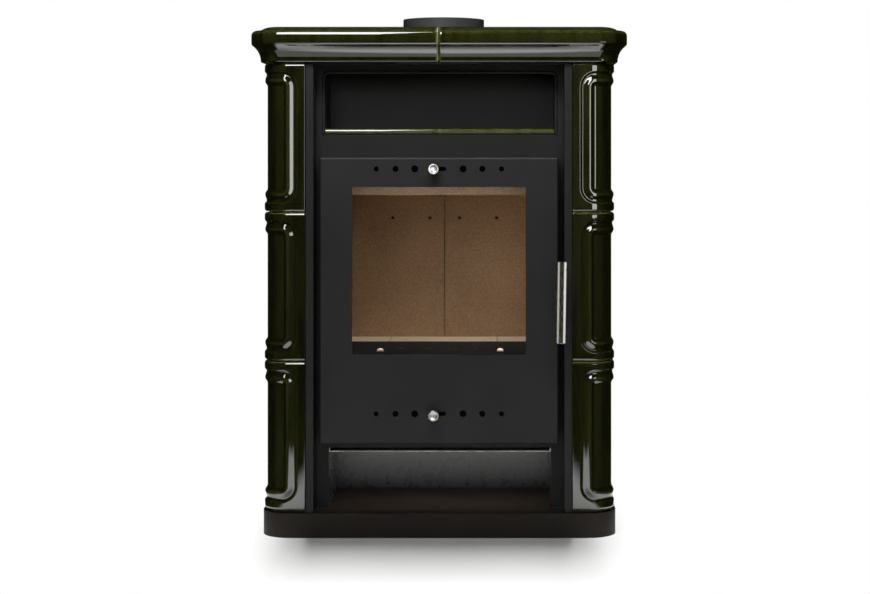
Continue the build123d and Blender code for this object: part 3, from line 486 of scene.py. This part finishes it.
# ------------------------------------------------------------------ glazed tiles
# Section of the moulding from the band inwards: (distance from its outer line, height over the band), in mm.
MOULDING = (
    (0.8, -0.15), (1.6, -0.6), (2.4, -1.3), (3.2, -2.1), (4.0, -2.8), (4.9, -3.2), (5.8, -3.3),
    (7.0, -3.2), (8.4, -2.9), (10.0, -2.4), (11.6, -1.85), (13.2, -1.35), (14.8, -1.0), (16.4, -0.85),
    (17.8, -0.9), (19.2, -1.2), (20.6, -1.85), (21.9, -2.75), (23.1, -3.65), (24.3, -4.4), (25.7, -4.9),
    (27.2, -5.0),
)


def flat_tile(name, width, height, sizes):
    """Moulded tile lying in the XZ plane, its face towards -Y and its lower left corner at the origin."""
    tile = begin(name, bpy.ops.mesh.primitive_cube_add, size=1,
                 location=(width / 2, sizes.wall / 2, height / 2), scale=(width, sizes.wall, height))
    # the front edges are rounded, the one beside the steel less than the others
    pick("edges", lambda e: all_verts(e, lambda co: co.y < TINY) and not all_verts(e, lambda co: co.x < TINY))
    bpy.ops.mesh.bevel(offset=sizes.edge_radius, segments=6, profile=0.5, affect="EDGES")
    pick("edges", lambda e: all_verts(e, lambda co: co.x < TINY and co.y < sizes.edge_radius + TINY)
         and any(f.normal.x > -0.99 for f in e.link_faces))
    bpy.ops.mesh.bevel(offset=sizes.inner_radius, segments=4, profile=0.5, affect="EDGES")
    # the front face gives way to a plate with round corners, which is inset along the moulding's section
    pick("faces", lambda f: f.normal.y < -0.999)
    bpy.ops.mesh.delete(type="ONLY_FACE")
    centre = (width / 2, 0, height / 2)
    bpy.ops.mesh.primitive_plane_add(size=1, location=centre, rotation=(QUARTER, 0, 0))
    bpy.ops.mesh.select_mode(type="VERT")
    inner = (width - 2 * sizes.band, 1, height - 2 * sizes.band)
    bpy.ops.transform.resize(value=inner, center_override=centre)
    bpy.ops.mesh.bevel(offset=sizes.frame_radius, offset_type="ABSOLUTE", segments=12, affect="VERTICES")
    pick("faces", lambda f: f.normal.y < -0.99 and len(f.verts) > 20)
    u, level = 0.0, 0.0
    for next_u, next_level in MOULDING:
        bpy.ops.mesh.inset(thickness=(next_u - u) * MM, depth=(next_level - level) * MM)
        u, level = next_u, next_level
    pick("edges", lambda e: e.is_boundary)
    bpy.ops.mesh.fill(use_beauty=True)
    object_mode()
    note_glaze(tile, lambda co: tile_glaze(co, width, height, sizes))
    return tile


# Where the glaze draws back on a tile. The lines of the moulding count from its outer line inwards.
TILE_EDGE_THINNESS = 0.75
LIP_LINE = (1.6 * MM, 1.5 * MM, 0.2)
RIDGE_LINE = (17.0 * MM, 4 * MM, 0.2)


def tile_glaze(co, width, height, sizes):
    """Thin on the tile's rounded edges, except beside the steel, and on the lip and ridge of its moulding."""
    edge = min(width - co.x, co.z, height - co.z)
    over_x = abs(co.x - width / 2) - (width / 2 - sizes.band - sizes.frame_radius)
    over_z = abs(co.z - height / 2) - (height / 2 - sizes.band - sizes.frame_radius)
    reach = math.hypot(max(over_x, 0), max(over_z, 0)) + min(max(over_x, over_z), 0)
    inside = sizes.frame_radius - reach
    edge_line = (0, sizes.edge_radius, TILE_EDGE_THINNESS)
    return max(thin_line(edge, edge_line), thin_line(inside, LIP_LINE), thin_line(inside, RIDGE_LINE))


def bend_round_corner(tile, start, radius):
    """Cut the flat tile into narrow columns where it bends, then bend it round the stove's corner."""
    columns = 24
    arc = radius * QUARTER
    only(tile)
    bpy.ops.object.mode_set(mode="EDIT")
    for i in range(columns + 1):
        bpy.ops.mesh.select_all(action="SELECT")
        bpy.ops.mesh.bisect(plane_co=(start + arc * i / columns, 0, 0), plane_no=(1, 0, 0))
    object_mode()
    bpy.ops.object.empty_add(location=(start, 0, 0))
    pivot = bpy.context.object
    span = max(v.co.x for v in tile.data.vertices)
    apply(tile, "SIMPLE_DEFORM", deform_method="BEND", deform_axis="Z", angle=QUARTER, origin=pivot,
          limits=(start / span, (start + arc) / span))
    bpy.data.objects.remove(pivot)


class STOVE_OT_corner_tiles(bpy.types.Operator):
    """Six moulded corner tiles, three on each side"""
    bl_idname = "stove.corner_tiles"
    bl_label = "Corner tiles"

    def execute(self, context):
        sizes = context.scene.stove_tiles
        low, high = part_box("lower_right_corner_tile")
        radius = sizes.corner_radius
        straight = high.x - radius - low.x
        side = high.y - (low.y + radius)
        width = straight + radius * QUARTER + side
        master = flat_tile("corner tile master", width, high.z - low.z, sizes)
        bend_round_corner(master, straight, radius)
        place_tiles(master, low, "corner")
        return {"FINISHED"}


class STOVE_OT_side_tiles(bpy.types.Operator):
    """Six flat moulded tiles behind the corner tiles"""
    bl_idname = "stove.side_tiles"
    bl_label = "Side tiles"

    def execute(self, context):
        sizes = context.scene.stove_tiles
        low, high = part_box("lower_right_side_tile")
        master = flat_tile("side tile master", high.y - low.y, high.z - low.z, sizes)
        only(master)
        master.rotation_euler.z = QUARTER
        master.location.x = high.x - low.x
        bpy.ops.object.transform_apply(location=True, rotation=True, scale=True)
        place_tiles(master, low, "side")
        return {"FINISHED"}


def place_tiles(master, low, kind):
    """Move the first tile to its place, and copy it up and across."""
    only(master)
    master.location = (low.x, low.y, 0)
    bpy.ops.object.transform_apply(location=True, rotation=True, scale=True)
    outward(master)
    for row in ROWS:
        for side in SIDES:
            name = f"{row}_{side}_{kind}_tile"
            tile = copy_of(master, "glazed_" + name, mirror=side == "left", lift=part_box(name)[0].z)
            smooth(tile, angle=45)
            fit(tile, name)
    bpy.data.objects.remove(master)


# ------------------------------------------------------------------ ceramic top and shelf tiles
# Where the glaze draws back on the top: from the joint of the halves, and by height over the underside. At
# the joint the left half is paler than the right one, as a painted highlight where light from the right falls
# on its edge.
SEAM_REACH = 6 * MM
SEAM_THINNESS_AND_HIGHLIGHT = {"left": 1.0, "right": 0.45}
NOSING_LINE = (50 * MM, 7 * MM, 0.15)
STEP_LINE = (57 * MM, 3 * MM, 0.07)

# Where it draws back on a shelf tile: from the joint of the tiles, where the pale colour is partly a painted
# highlight, and from the nose.
SHELF_SEAM_LINE = (0, 4 * MM, 1.0)
SHELF_NOSE_LINE = (0, 6 * MM, 0.6)


def arc_points(start, middle, end, count):
    """Points on the circle through three points, from start to end, without the start."""
    (ax, ay), (bx, by), (cx, cy) = start, middle, end
    d = 2 * (ax * (by - cy) + bx * (cy - ay) + cx * (ay - by))
    a2, b2, c2 = ax * ax + ay * ay, bx * bx + by * by, cx * cx + cy * cy
    ox = (a2 * (by - cy) + b2 * (cy - ay) + c2 * (ay - by)) / d
    oy = (a2 * (cx - bx) + b2 * (ax - cx) + c2 * (bx - ax)) / d
    first = math.atan2(ay - oy, ax - ox)
    last = math.atan2(cy - oy, cx - ox)
    turn = (last - first + math.pi) % (2 * math.pi) - math.pi
    radius = math.hypot(ax - ox, ay - oy)
    angles = [first + turn * i / count for i in range(1, count + 1)]
    return [(ox + radius * math.cos(a), oy + radius * math.sin(a)) for a in angles]


def rim_section():
    """Outline of the moulded rim in mm: (distance out from the nosing's face, height over the underside)."""
    points = [(-46.0, 0.0), (-18.6, 0.0)]
    points += arc_points((-18.6, 0.0), (-17.0, 0.5), (-16.2, 2.2), 4)
    points += arc_points((-16.2, 2.2), (-11.8, 18.0), (-2.4, 28.6), 12)
    points += arc_points((-2.4, 28.6), (-0.7, 30.6), (0.0, 33.4), 5)
    points += [(0.0, 40.0), (0.0, 46.0)]
    points += arc_points((0.0, 46.0), (-2.3, 51.8), (-8.0, 54.4), 8)
    points += [(-11.0, 54.6), (-14.0, 54.6)]
    points += arc_points((-14.0, 54.6), (-16.2, 55.2), (-18.0, 56.6), 4)
    points += arc_points((-18.0, 56.6), (-26.0, 59.9), (-36.0, 61.0), 7)
    points += [(-46.0, 61.0)]
    return points


class STOVE_OT_ceramic_top(bpy.types.Operator):
    """Two moulded halves of the glazed top"""
    bl_idname = "stove.ceramic_top"
    bl_label = "Ceramic top"

    def execute(self, context):
        sizes = context.scene.stove_top
        low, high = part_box("ceramic_top_right")
        half = self.rim(low, high, sizes)
        self.fill_field(half, low, high, sizes)
        self.round_seam(half, low, sizes)
        for side in SIDES:
            name = f"ceramic_top_{side}"
            top = copy_of(half, "glazed_" + name, mirror=side == "left")
            # the left half's seam gets more thinness than the right's, as a painted highlight
            seam_glaze_and_highlight = (0, SEAM_REACH, SEAM_THINNESS_AND_HIGHLIGHT[side])
            note_glaze(top, lambda co: top_glaze(co, low, seam_glaze_and_highlight))
            smooth(top, angle=40)
            fit(top, name)
        bpy.data.objects.remove(half)
        return {"FINISHED"}

    def rim(self, low, high, sizes):
        """Rim section drawn point by point, run along the front, round the corner and back along the side."""
        section = rim_section()
        radius = sizes.corner_radius
        half = begin("top master", bpy.ops.mesh.primitive_plane_add, size=MM)
        bpy.ops.mesh.select_all(action="SELECT")
        bpy.ops.mesh.merge(type="CENTER")
        u, h = section[0]
        bpy.ops.transform.translate(value=(low.x, low.y - u * MM, low.z + h * MM))
        for next_u, next_h in section[1:]:
            step = (0, (u - next_u) * MM, (next_h - h) * MM)
            bpy.ops.mesh.extrude_vertices_move(TRANSFORM_OT_translate={"value": step})
            u, h = next_u, next_h
        pick("verts", lambda v: len(v.link_edges) == 1)
        bpy.ops.mesh.edge_face_add()
        pick("edges", lambda e: True)
        run = high.x - radius - low.x
        bpy.ops.mesh.extrude_edges_move(TRANSFORM_OT_translate={"value": (run, 0, 0)})
        centre = (high.x - radius, low.y + radius, 0)
        bpy.ops.mesh.spin(steps=24, angle=-QUARTER, center=centre, axis=(0, 0, 1))
        bpy.ops.mesh.extrude_edges_move(TRANSFORM_OT_translate={"value": (0, high.y - low.y - radius, 0)})
        for rule in (lambda co: co.x < low.x + TINY, lambda co: co.y > high.y - TINY):
            pick("edges", lambda e: e.is_boundary and all_verts(e, rule))
            bpy.ops.mesh.edge_face_add()
        outward(half)
        return half

    def fill_field(self, half, low, high, sizes):
        """Join the flat middle and the rear lip to the rim, and cut the flue's hole."""
        overlap = 2 * MM
        rim = -rim_section()[0][0] * MM - overlap
        lip = 9 * MM
        solids = (
            ((low.x, low.y + rim, high.z - sizes.field), (high.x - rim, high.y, high.z)),
            ((low.x, high.y - lip, low.z), (high.x - rim, high.y, high.z - sizes.field + overlap)),
        )
        for start, end in solids:
            slab = box_between("field", start, end)
            apply(half, "BOOLEAN", object=slab, operation="UNION", solver="EXACT")
            bpy.data.objects.remove(slab)
        cut_height = 0.4
        bpy.ops.mesh.primitive_cylinder_add(
            vertices=96, radius=sizes.flue_hole, depth=cut_height, location=flue_axis(high.z))
        cutter = bpy.context.object
        apply(half, "BOOLEAN", object=cutter, operation="DIFFERENCE", solver="EXACT")
        bpy.data.objects.remove(cutter)

    def round_seam(self, half, low, sizes):
        only(half)
        bpy.ops.object.mode_set(mode="EDIT")
        bpy.ops.mesh.select_all(action="SELECT")
        bpy.ops.mesh.remove_doubles(threshold=TINY)
        bpy.ops.mesh.dissolve_limited(angle_limit=math.radians(0.5))
        bpy.ops.mesh.select_all(action="SELECT")
        bpy.ops.mesh.bisect(plane_co=(low.x + SEAM_REACH, 0, 0), plane_no=(1, 0, 0))
        pick("edges", lambda e: all_verts(e, lambda co: co.x < low.x + TINY) and not e.is_boundary
             and any(f.normal.x > -0.99 for f in e.link_faces))
        bpy.ops.mesh.bevel(offset=sizes.seam_radius, segments=3, affect="EDGES")
        object_mode()


def top_glaze(co, low, seam_glaze_and_highlight):
    """Thin at the seam, where the left half also has a painted highlight, on the nosing's upper edge and on
    the step above it.
    """
    from_joint, height = abs(co.x) - low.x, co.z - low.z
    return max(thin_line(from_joint, seam_glaze_and_highlight), thin_line(height, NOSING_LINE), thin_line(height, STEP_LINE))


def box_between(name, start, end):
    """A plain block between two corners, for joining or cutting."""
    centre = [(a + b) / 2 for a, b in zip(start, end)]
    size = [b - a for a, b in zip(start, end)]
    block = begin(name, bpy.ops.mesh.primitive_cube_add, size=1, location=centre, scale=size)
    object_mode()
    return block


def flue_axis(z):
    low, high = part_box("flue_collar")
    return ((low.x + high.x) / 2, (low.y + high.y) / 2, z)


class STOVE_OT_shelf_tiles(bpy.types.Operator):
    """Two glazed shelf tiles in the warming niche, with a rounded nose"""
    bl_idname = "stove.shelf_tiles"
    bl_label = "Shelf tiles"

    def execute(self, context):
        low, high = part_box("niche_shelf_tile_right")
        thick, nose_flat, seam_radius = high.z - low.z, 1.2 * MM, 1.8 * MM
        tile = box_between("shelf master", low, high)
        bpy.ops.object.mode_set(mode="EDIT")
        pick("edges", lambda e: all_verts(e, lambda co: co.y < low.y + TINY)
             and abs(e.verts[0].co.z - e.verts[1].co.z) < TINY)
        bpy.ops.mesh.bevel(offset=(thick - nose_flat) / 2, segments=8, affect="EDGES")
        pick("edges", lambda e: all_verts(e, lambda co: co.x < low.x + TINY)
             and any(f.normal.x > -0.99 for f in e.link_faces))
        bpy.ops.mesh.bevel(offset=seam_radius, segments=3, affect="EDGES")
        object_mode()
        for side in SIDES:
            name = f"niche_shelf_tile_{side}"
            shelf = copy_of(tile, "glazed_" + name, mirror=side == "left")
            note_glaze(shelf, lambda co: max(
                thin_line(abs(co.x) - low.x, SHELF_SEAM_LINE), thin_line(co.y - low.y, SHELF_NOSE_LINE)))
            smooth(shelf, angle=40)
            fit(shelf, name)
        bpy.data.objects.remove(tile)
        return {"FINISHED"}


# ------------------------------------------------------------------ handle and knobs
def lathe(name, radius, steps):
    """Turned bar along Z, from a disc at the origin: each step extrudes by a height and sets a radius."""
    bar = begin(name, bpy.ops.mesh.primitive_circle_add, vertices=48, radius=radius, fill_type="NGON")
    bpy.ops.mesh.select_all(action="SELECT")
    z = 0.0
    for rise, next_radius in steps:
        z += rise
        bpy.ops.mesh.extrude_region_move(TRANSFORM_OT_translate={"value": (0, 0, rise)})
        factor = next_radius / radius
        bpy.ops.transform.resize(value=(factor, factor, 1), center_override=(0, 0, z))
        radius = next_radius
    outward(bar)
    return bar


def rounded_end(radius, rim):
    """Lathe steps that widen a bar's end over a round rim to the full radius."""
    turns = 5
    steps, last = [], 0.0
    for i in range(1, turns + 1):
        angle = QUARTER * i / turns
        height = rim * (1 - math.cos(angle))
        steps.append((height - last, radius - rim + rim * math.sin(angle)))
        last = height
    return steps


class STOVE_OT_handle(bpy.types.Operator):
    """Ground stainless handle: a tube between two turned caps"""
    bl_idname = "stove.handle"
    bl_label = "Handle"

    def execute(self, context):
        sizes = context.scene.stove_handle
        low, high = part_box("handle_caps")
        groove_depth, chamfer = 0.7 * MM, 0.3 * MM
        r, neck = sizes.radius, sizes.radius - groove_depth
        # the tube leans by a hair, so its middle is found from its box
        total = high.z - low.z
        lean = math.atan2(high.x - low.x - 2 * r, total)
        run = total / math.cos(lean)
        steps = rounded_end(r, sizes.rim)
        steps += [(sizes.cap - sizes.rim - sizes.groove, r), (0, neck), (sizes.groove, neck)]
        cap = lathe("cap master", r - sizes.rim, steps)
        tube = lathe("handle_tube_ground", r - chamfer, [
            (chamfer, r), (run - 2 * (sizes.cap + chamfer), r), (chamfer, r - chamfer)])
        middle = (low + high) / 2
        upper = copy_of(cap, "upper cap")
        half = run / 2
        for piece, turn, start in ((cap, 0, -half), (upper, math.pi, half), (tube, 0, sizes.cap - half)):
            only(piece)
            piece.rotation_euler.x = turn
            piece.location.z = start
            bpy.ops.object.transform_apply(location=True, rotation=True, scale=True)
            piece.rotation_euler.y = lean
            piece.location = middle
            bpy.ops.object.transform_apply(location=True, rotation=True, scale=True)
        only(cap)
        upper.select_set(True)
        bpy.ops.object.join()
        cap.name = cap.data.name = "handle_caps_turned"
        for piece, source in ((cap, "handle_caps"), (tube, "handle_tube")):
            outward(piece)
            smooth(piece, angle=35)
            fit(piece, source)
        return {"FINISHED"}


class STOVE_OT_air_knobs(bpy.types.Operator):
    """Two turned stainless knobs on their stems"""
    bl_idname = "stove.air_knobs"
    bl_label = "Air knobs"

    def execute(self, context):
        sizes = context.scene.stove_handle
        low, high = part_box("upper_air_knob")
        r, rim, chamfer = sizes.knob_radius, 1.0 * MM, 0.6 * MM
        dimple, dish = 2.0 * MM, r - 2.6 * MM
        # the front is dished: from the dimple in its middle it comes forward, then stays level to the rim
        front = [(-0.25 * MM, dimple + 0.4 * MM), (-0.1 * MM, dish - 0.8 * MM), (-0.45 * MM, dish),
                 (0, r - rim)]
        knob = lathe("knob master", dimple, [
            *front, *rounded_end(r, rim), (sizes.knob_length - rim - chamfer, r), (chamfer, r - chamfer),
            (0, sizes.stem_radius), (high.y - low.y - sizes.knob_length, sizes.stem_radius)])
        only(knob)
        top = min(v.co.z for v in knob.data.vertices)
        knob.rotation_euler.x = -QUARTER
        bpy.ops.object.transform_apply(location=True, rotation=True, scale=True)
        for name in ("upper_air_knob", "lower_air_knob"):
            start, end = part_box(name)
            piece = copy_of(knob, "turned_" + name)
            only(piece)
            piece.location = ((start.x + end.x) / 2, start.y - top, (start.z + end.z) / 2)
            bpy.ops.object.transform_apply(location=True, rotation=True, scale=True)
            smooth(piece, angle=35)
            fit(piece, name)
        bpy.data.objects.remove(knob)
        return {"FINISHED"}


# ------------------------------------------------------------------ finishes of the CAD nodes
class STOVE_OT_finishes(bpy.types.Operator):
    """Finishes of all pieces that keep their CAD shape"""
    bl_idname = "stove.finishes"
    bl_label = "Finishes"

    def execute(self, context):
        for name, piece in NODES.items():
            piece.data.materials.clear()
            piece.data.materials.append(MATERIALS[SLOTS[name]])
        return {"FINISHED"}


# ------------------------------------------------------------------ studio
def pieces(*names):
    """CAD nodes and new pieces by their names."""
    return [NODES.get(name) or bpy.data.objects[name] for name in names]


def linked(name, chosen, state="INCLUDE"):
    """Collection of the pieces that a lamp takes in or leaves out."""
    group = bpy.data.collections.new(name)
    for piece in chosen:
        group.objects.link(piece)
    for entry in group.collection_objects:
        entry.light_linking.link_state = state
    return group


def softbox(name, at, toward, size, power, glossy=True, diffuse=True, seen=True,
            lit=None, unlit=None, shadow_of=None):
    """Area light aimed at a point, seen in reflections and lighting matt surfaces as asked.

    lit are the only pieces it lights, unlit those it leaves out, shadow_of the only ones that block it.
    """
    data = bpy.data.lights.new(name, "AREA")
    data.shape = "RECTANGLE"
    data.size, data.size_y = size
    data.energy = power
    lamp = bpy.data.objects.new(name, data)
    lamp.visible_glossy, lamp.visible_diffuse = glossy, diffuse
    lamp.visible_camera = lamp.visible_transmission = seen
    if lit:
        lamp.light_linking.receiver_collection = linked(name, lit)
    if unlit:
        lamp.light_linking.receiver_collection = linked(name, unlit, "EXCLUDE")
    if shadow_of:
        lamp.light_linking.blocker_collection = linked(name + "_shadow", shadow_of)
    bpy.context.scene.collection.objects.link(lamp)
    lamp.location = at
    direction = lamp.location - type(lamp.location)(toward)
    lamp.rotation_euler = direction.to_track_quat("Z", "Y").to_euler()


class STOVE_OT_studio(bpy.types.Operator):
    """Pale floor, soft lights and the camera"""
    bl_idname = "stove.studio"
    bl_label = "Studio"

    def execute(self, context):
        scene = context.scene
        scene.view_settings.view_transform = "Standard"
        self.floor()
        self.surroundings(scene)
        self.light_from_above()
        self.light_from_the_floor()
        self.windows()
        self.front_lamps()
        self.hearth_lamps()
        self.steel_lamps()
        self.camera(scene)
        return {"FINISHED"}

    def light_from_above(self):
        """Daylight from high behind, and a lamp over the door. The floor has its own of each."""
        floor = pieces("studio_floor")
        body = pieces("front_panel", "left_side_frame", "right_side_frame", "firebox_shell", "niche_liner",
                      "door_panel")
        softbox("overhead", at=(0, 4.9, 24), toward=(0, 0, 0), size=(0.5, 9.8), power=7600, glossy=False,
                unlit=floor)
        # the steel body alone shades the floor from these two, and from the second the top plate as well
        for name, blockers in (("floor_light", body), ("wide_floor_light", [*body, *pieces("top_plate")])):
            softbox(name, at=(0, 6.8, 24), toward=(0, 0, 0), size=(2.6, 10.6), power=4130, glossy=False,
                    lit=floor, shadow_of=blockers)
        for name, power, chosen in (
                ("door_light", 6.3, {"unlit": floor}), ("floor_fill", 4.5, {"lit": floor})):
            softbox(name, at=(0, -0.78, 1.38), toward=(0, -0.2, 0.6), size=(0.7, 0.25), power=power,
                    glossy=False, **chosen)

    def light_from_the_floor(self):
        """Light that the pale floor throws up from before the stove."""
        tops = [f"glazed_ceramic_top_{side}" for side in SIDES]
        for name, power, chosen in (
                ("bay_bounce", 24, ["wood_bay_liner"]), ("shield_bounce", 5, ["heat_shield"]),
                ("cove_bounce", 2.6, tops)):
            softbox(name, at=(0, -1.4, 0.01), toward=(0, -1.4, 1), size=(1.2, 1.6), power=power,
                    diffuse=False, seen=False, lit=pieces(*chosen))

    def windows(self):
        """The room's windows, as the glaze mirrors them, and a weak fill from the left."""
        handle = pieces("handle_tube_ground", "handle_caps_turned")
        upper_tiles = pieces(*(f"glazed_upper_{side}_corner_tile" for side in SIDES))
        softbox("left_fill", at=(-1.7, -2.5, 1.1), toward=(0, 0, 0.6), size=(0.6, 0.4), power=1.2,
                glossy=False)
        softbox("key_left", at=(-0.38, -2.0, 1.9), toward=(-0.1, -0.2, 0.6), size=(0.42, 1.9), power=16,
                diffuse=False, unlit=handle)
        softbox("right_window", at=(0.9, -2.2, 0.71), toward=(0, -0.2, 0.71), size=(0.8, 0.42), power=2.6,
                diffuse=False, unlit=[*upper_tiles, *handle])
        softbox("tall_window", at=(0.9, -2.2, 0.6), toward=(0, -0.2, 0.6), size=(0.8, 2.0), power=12.4,
                diffuse=False, lit=upper_tiles)

    def front_lamps(self):
        """A gleam on the door's rounded upper edge, and a little light in the niche."""
        softbox("door_edge", at=(0, -0.9, 1.9), toward=(0, -0.2, 0.65), size=(1.2, 0.3), power=13,
                diffuse=False, lit=pieces("door_panel"))
        softbox("niche_fill", at=(0, -0.9, 0.9), toward=(0, -0.03, 0.72), size=(0.5, 0.2), power=1.3,
                glossy=False, lit=pieces("niche_liner"))

    def hearth_lamps(self):
        """Small lamps that no camera sees, inside the wood bay and the firebox."""
        softbox("bay_fill", at=(0, -0.15, 0.138), toward=(0, 0, 0.05), size=(0.36, 0.01), power=0.6,
                glossy=False, seen=False, lit=pieces("wood_bay_liner", "base_plinth"))
        softbox("fire_light", at=(0.05, -0.14, 0.45), toward=(0.15, 0.04, 0.29), size=(0.2, 0.03), power=0.17,
                glossy=False, seen=False)
        softbox("glass_fill", at=(0, -0.15, 0.5), toward=(0.02, 0.12, 0.45), size=(0.28, 0.16), power=0.012,
                glossy=False, seen=False)
        softbox("baffle_light", at=(0, -0.14, 0.55), toward=(0, -0.085, 0.6), size=(0.3, 0.02), power=0.09,
                glossy=False, seen=False, lit=pieces("baffle"))
        bricks = [f"floor_brick_{spot}" for spot in ("left", "centre", "right")]
        for name, power, chosen in (("brick_light", 2.0, bricks), ("fence_light", 0.6, ["log_fence"])):
            softbox(name, at=(0, -0.15, 0.44), toward=(0, -0.12, 0.31), size=(0.28, 0.03), power=power,
                    glossy=False, seen=False, lit=pieces(*chosen))

    def steel_lamps(self):
        """Pale walls that only the ground steel of the handle and the knobs mirrors."""
        knobs = pieces(*(f"turned_{level}_air_knob" for level in ("upper", "lower")))
        bright_steel = [*pieces("handle_tube_ground", "handle_caps_turned"), *knobs]
        for name, x, power in (("steel_left", -2.3, 9), ("steel_right", 2.45, 14)):
            softbox(name, at=(x, -0.7, 0.5), toward=(0, -0.2, 0.5), size=(2.6, 1.2), power=power,
                    diffuse=False, lit=bright_steel)
        softbox("knob_front", at=(0.1, -2.6, 0.7), toward=(0, -0.2, 0.6), size=(0.8, 0.8), power=6,
                diffuse=False, lit=knobs)

    def camera(self, scene):
        """Camera held level before the stove, its frame shifted down and to the left."""
        camera = bpy.data.cameras.new("camera")
        camera.lens = 77.46
        camera.sensor_width = 36.0
        camera.shift_x, camera.shift_y = -0.0755, -0.161
        view = bpy.data.objects.new("camera", camera)
        view.location = (0.106, -3.415, 0.6516)
        view.rotation_euler = (QUARTER, 0, 0)
        scene.collection.objects.link(view)
        scene.camera = view

    def floor(self):
        """Round matt floor that fades out into the white behind it, so it has no edge and no horizon."""
        radius, fade_start, fade_end = 1.32, 0.95, 1.3
        sideways = 2.6  # how much sooner it fades towards the sides than towards the front
        object_mode()
        bpy.ops.mesh.primitive_circle_add(vertices=128, radius=radius, fill_type="NGON", location=(0, 0, 0))
        floor = bpy.context.object
        floor.name = floor.data.name = "studio_floor"
        material, tree, shader, place = surface("matt studio floor", {"Roughness": 0.9})
        speck = node(tree, "TexNoise", {"Scale": per(333)}, {"Vector": (place, "Object")})
        tint = node(tree, "ValToRGB", links={"Fac": (speck, "Fac")},
                    stops=[(0.3, linear("#eaeaea")), (0.7, linear("#eeeeee"))])
        squeezed = node(tree, "Mapping", {"Scale": (sideways, 1.0, 1.0)}, {"Vector": (place, "Object")})
        reach = node(tree, "VectorMath", links={0: (squeezed, "Vector")}, operation="LENGTH")
        fade = node(tree, "MapRange", {
            "From Min": fade_start, "From Max": fade_end, "To Min": 1.0, "To Max": 0.0
        }, {"Value": (reach, "Value")}, interpolation_type="SMOOTHSTEP")
        join(tree, shader, {"Base Color": (tint, "Color"), "Alpha": (fade, "Result")})
        floor.data.materials.append(material)

    def surroundings(self, scene):
        """White behind the stove for the camera, and a dim room all round for reflections.

        The room is a little brighter to the left and right of the camera, and has a haze behind it.
        """
        room_colour = (1, 1, 0.45, 1)
        beside_camera, behind_camera = (0.64, -0.77, 0.0), (0.1, -0.995, 0.03)
        darkest, brightest, haze_strength = 0.012, 0.04, 0.05
        world = bpy.data.worlds.new("studio")
        world.use_nodes = True
        scene.world = world
        tree = world.node_tree
        dim = tree.nodes["Background"]
        dim.inputs["Color"].default_value = room_colour
        place = node(tree, "TexCoord")
        aim = node(tree, "SeparateXYZ", links={0: (place, "Generated")})
        across = node(tree, "Math", links={0: (aim, "X")}, operation="ABSOLUTE")
        folded = node(tree, "CombineXYZ", links={"X": (across, "Value"), "Y": (aim, "Y"), "Z": (aim, "Z")})
        # both grow with the cosine of the angle to their middle
        beside = node(tree, "VectorMath", {1: beside_camera}, {0: (folded, "Vector")},
                      operation="DOT_PRODUCT")
        sides = node(tree, "MapRange", {
            "From Min": 0.78, "From Max": 1.0, "To Min": darkest, "To Max": brightest
        }, {"Value": (beside, "Value")}, interpolation_type="SMOOTHSTEP")
        behind = node(tree, "VectorMath", {1: behind_camera}, {0: (place, "Generated")},
                      operation="DOT_PRODUCT")
        haze = node(tree, "MapRange", {"From Min": 0.985, "From Max": 1.0, "To Max": haze_strength},
                    {"Value": (behind, "Value")}, interpolation_type="SMOOTHSTEP")
        total = node(tree, "Math", links={0: (sides, "Result"), 1: (haze, "Result")}, operation="ADD")
        join(tree, dim, {"Strength": (total, "Value")})
        pale = node(tree, "Background", {"Color": (1, 1, 1, 1), "Strength": 1.0})
        path = node(tree, "LightPath")
        seen = node(tree, "MixShader", links={
            0: (path, "Is Camera Ray"), 1: (dim, "Background"), 2: (pale, "Background")})
        join(tree, tree.nodes["World Output"], {"Surface": (seen, "Shader")})


# ------------------------------------------------------------------ panel and run
STEPS = (STOVE_OT_finishes, STOVE_OT_corner_tiles, STOVE_OT_side_tiles, STOVE_OT_ceramic_top,
         STOVE_OT_shelf_tiles, STOVE_OT_handle, STOVE_OT_air_knobs, STOVE_OT_studio)


class STOVE_PT_panel(bpy.types.Panel):
    """Sizes, colours and steps of the stove"""
    bl_label = "Tiled stove"
    bl_idname = "STOVE_PT_panel"
    bl_space_type = "VIEW_3D"
    bl_region_type = "UI"
    bl_category = "Stove"

    def draw(self, context):
        for group_name in SIZE_GROUPS:
            group = getattr(context.scene, group_name)
            box = self.layout.box()
            for key in group.__annotations__:
                box.prop(group, key)
        for step in STEPS:
            self.layout.operator(step.bl_idname)


CLASSES = (*SIZE_GROUPS.values(), *STEPS, STOVE_PT_panel)


def register():
    for cls in CLASSES:
        bpy.utils.register_class(cls)
    for name, group in SIZE_GROUPS.items():
        setattr(bpy.types.Scene, name, bpy.props.PointerProperty(type=group))


def unregister():
    for name in SIZE_GROUPS:
        delattr(bpy.types.Scene, name)
    for cls in reversed(CLASSES):
        bpy.utils.unregister_class(cls)


def main():
    register()
    make_materials(bpy.context.scene.stove_colours)
    for step in STEPS:
        category, name = step.bl_idname.split(".")
        getattr(getattr(bpy.ops, category), name)()


if __name__ == "__main__":
    main()
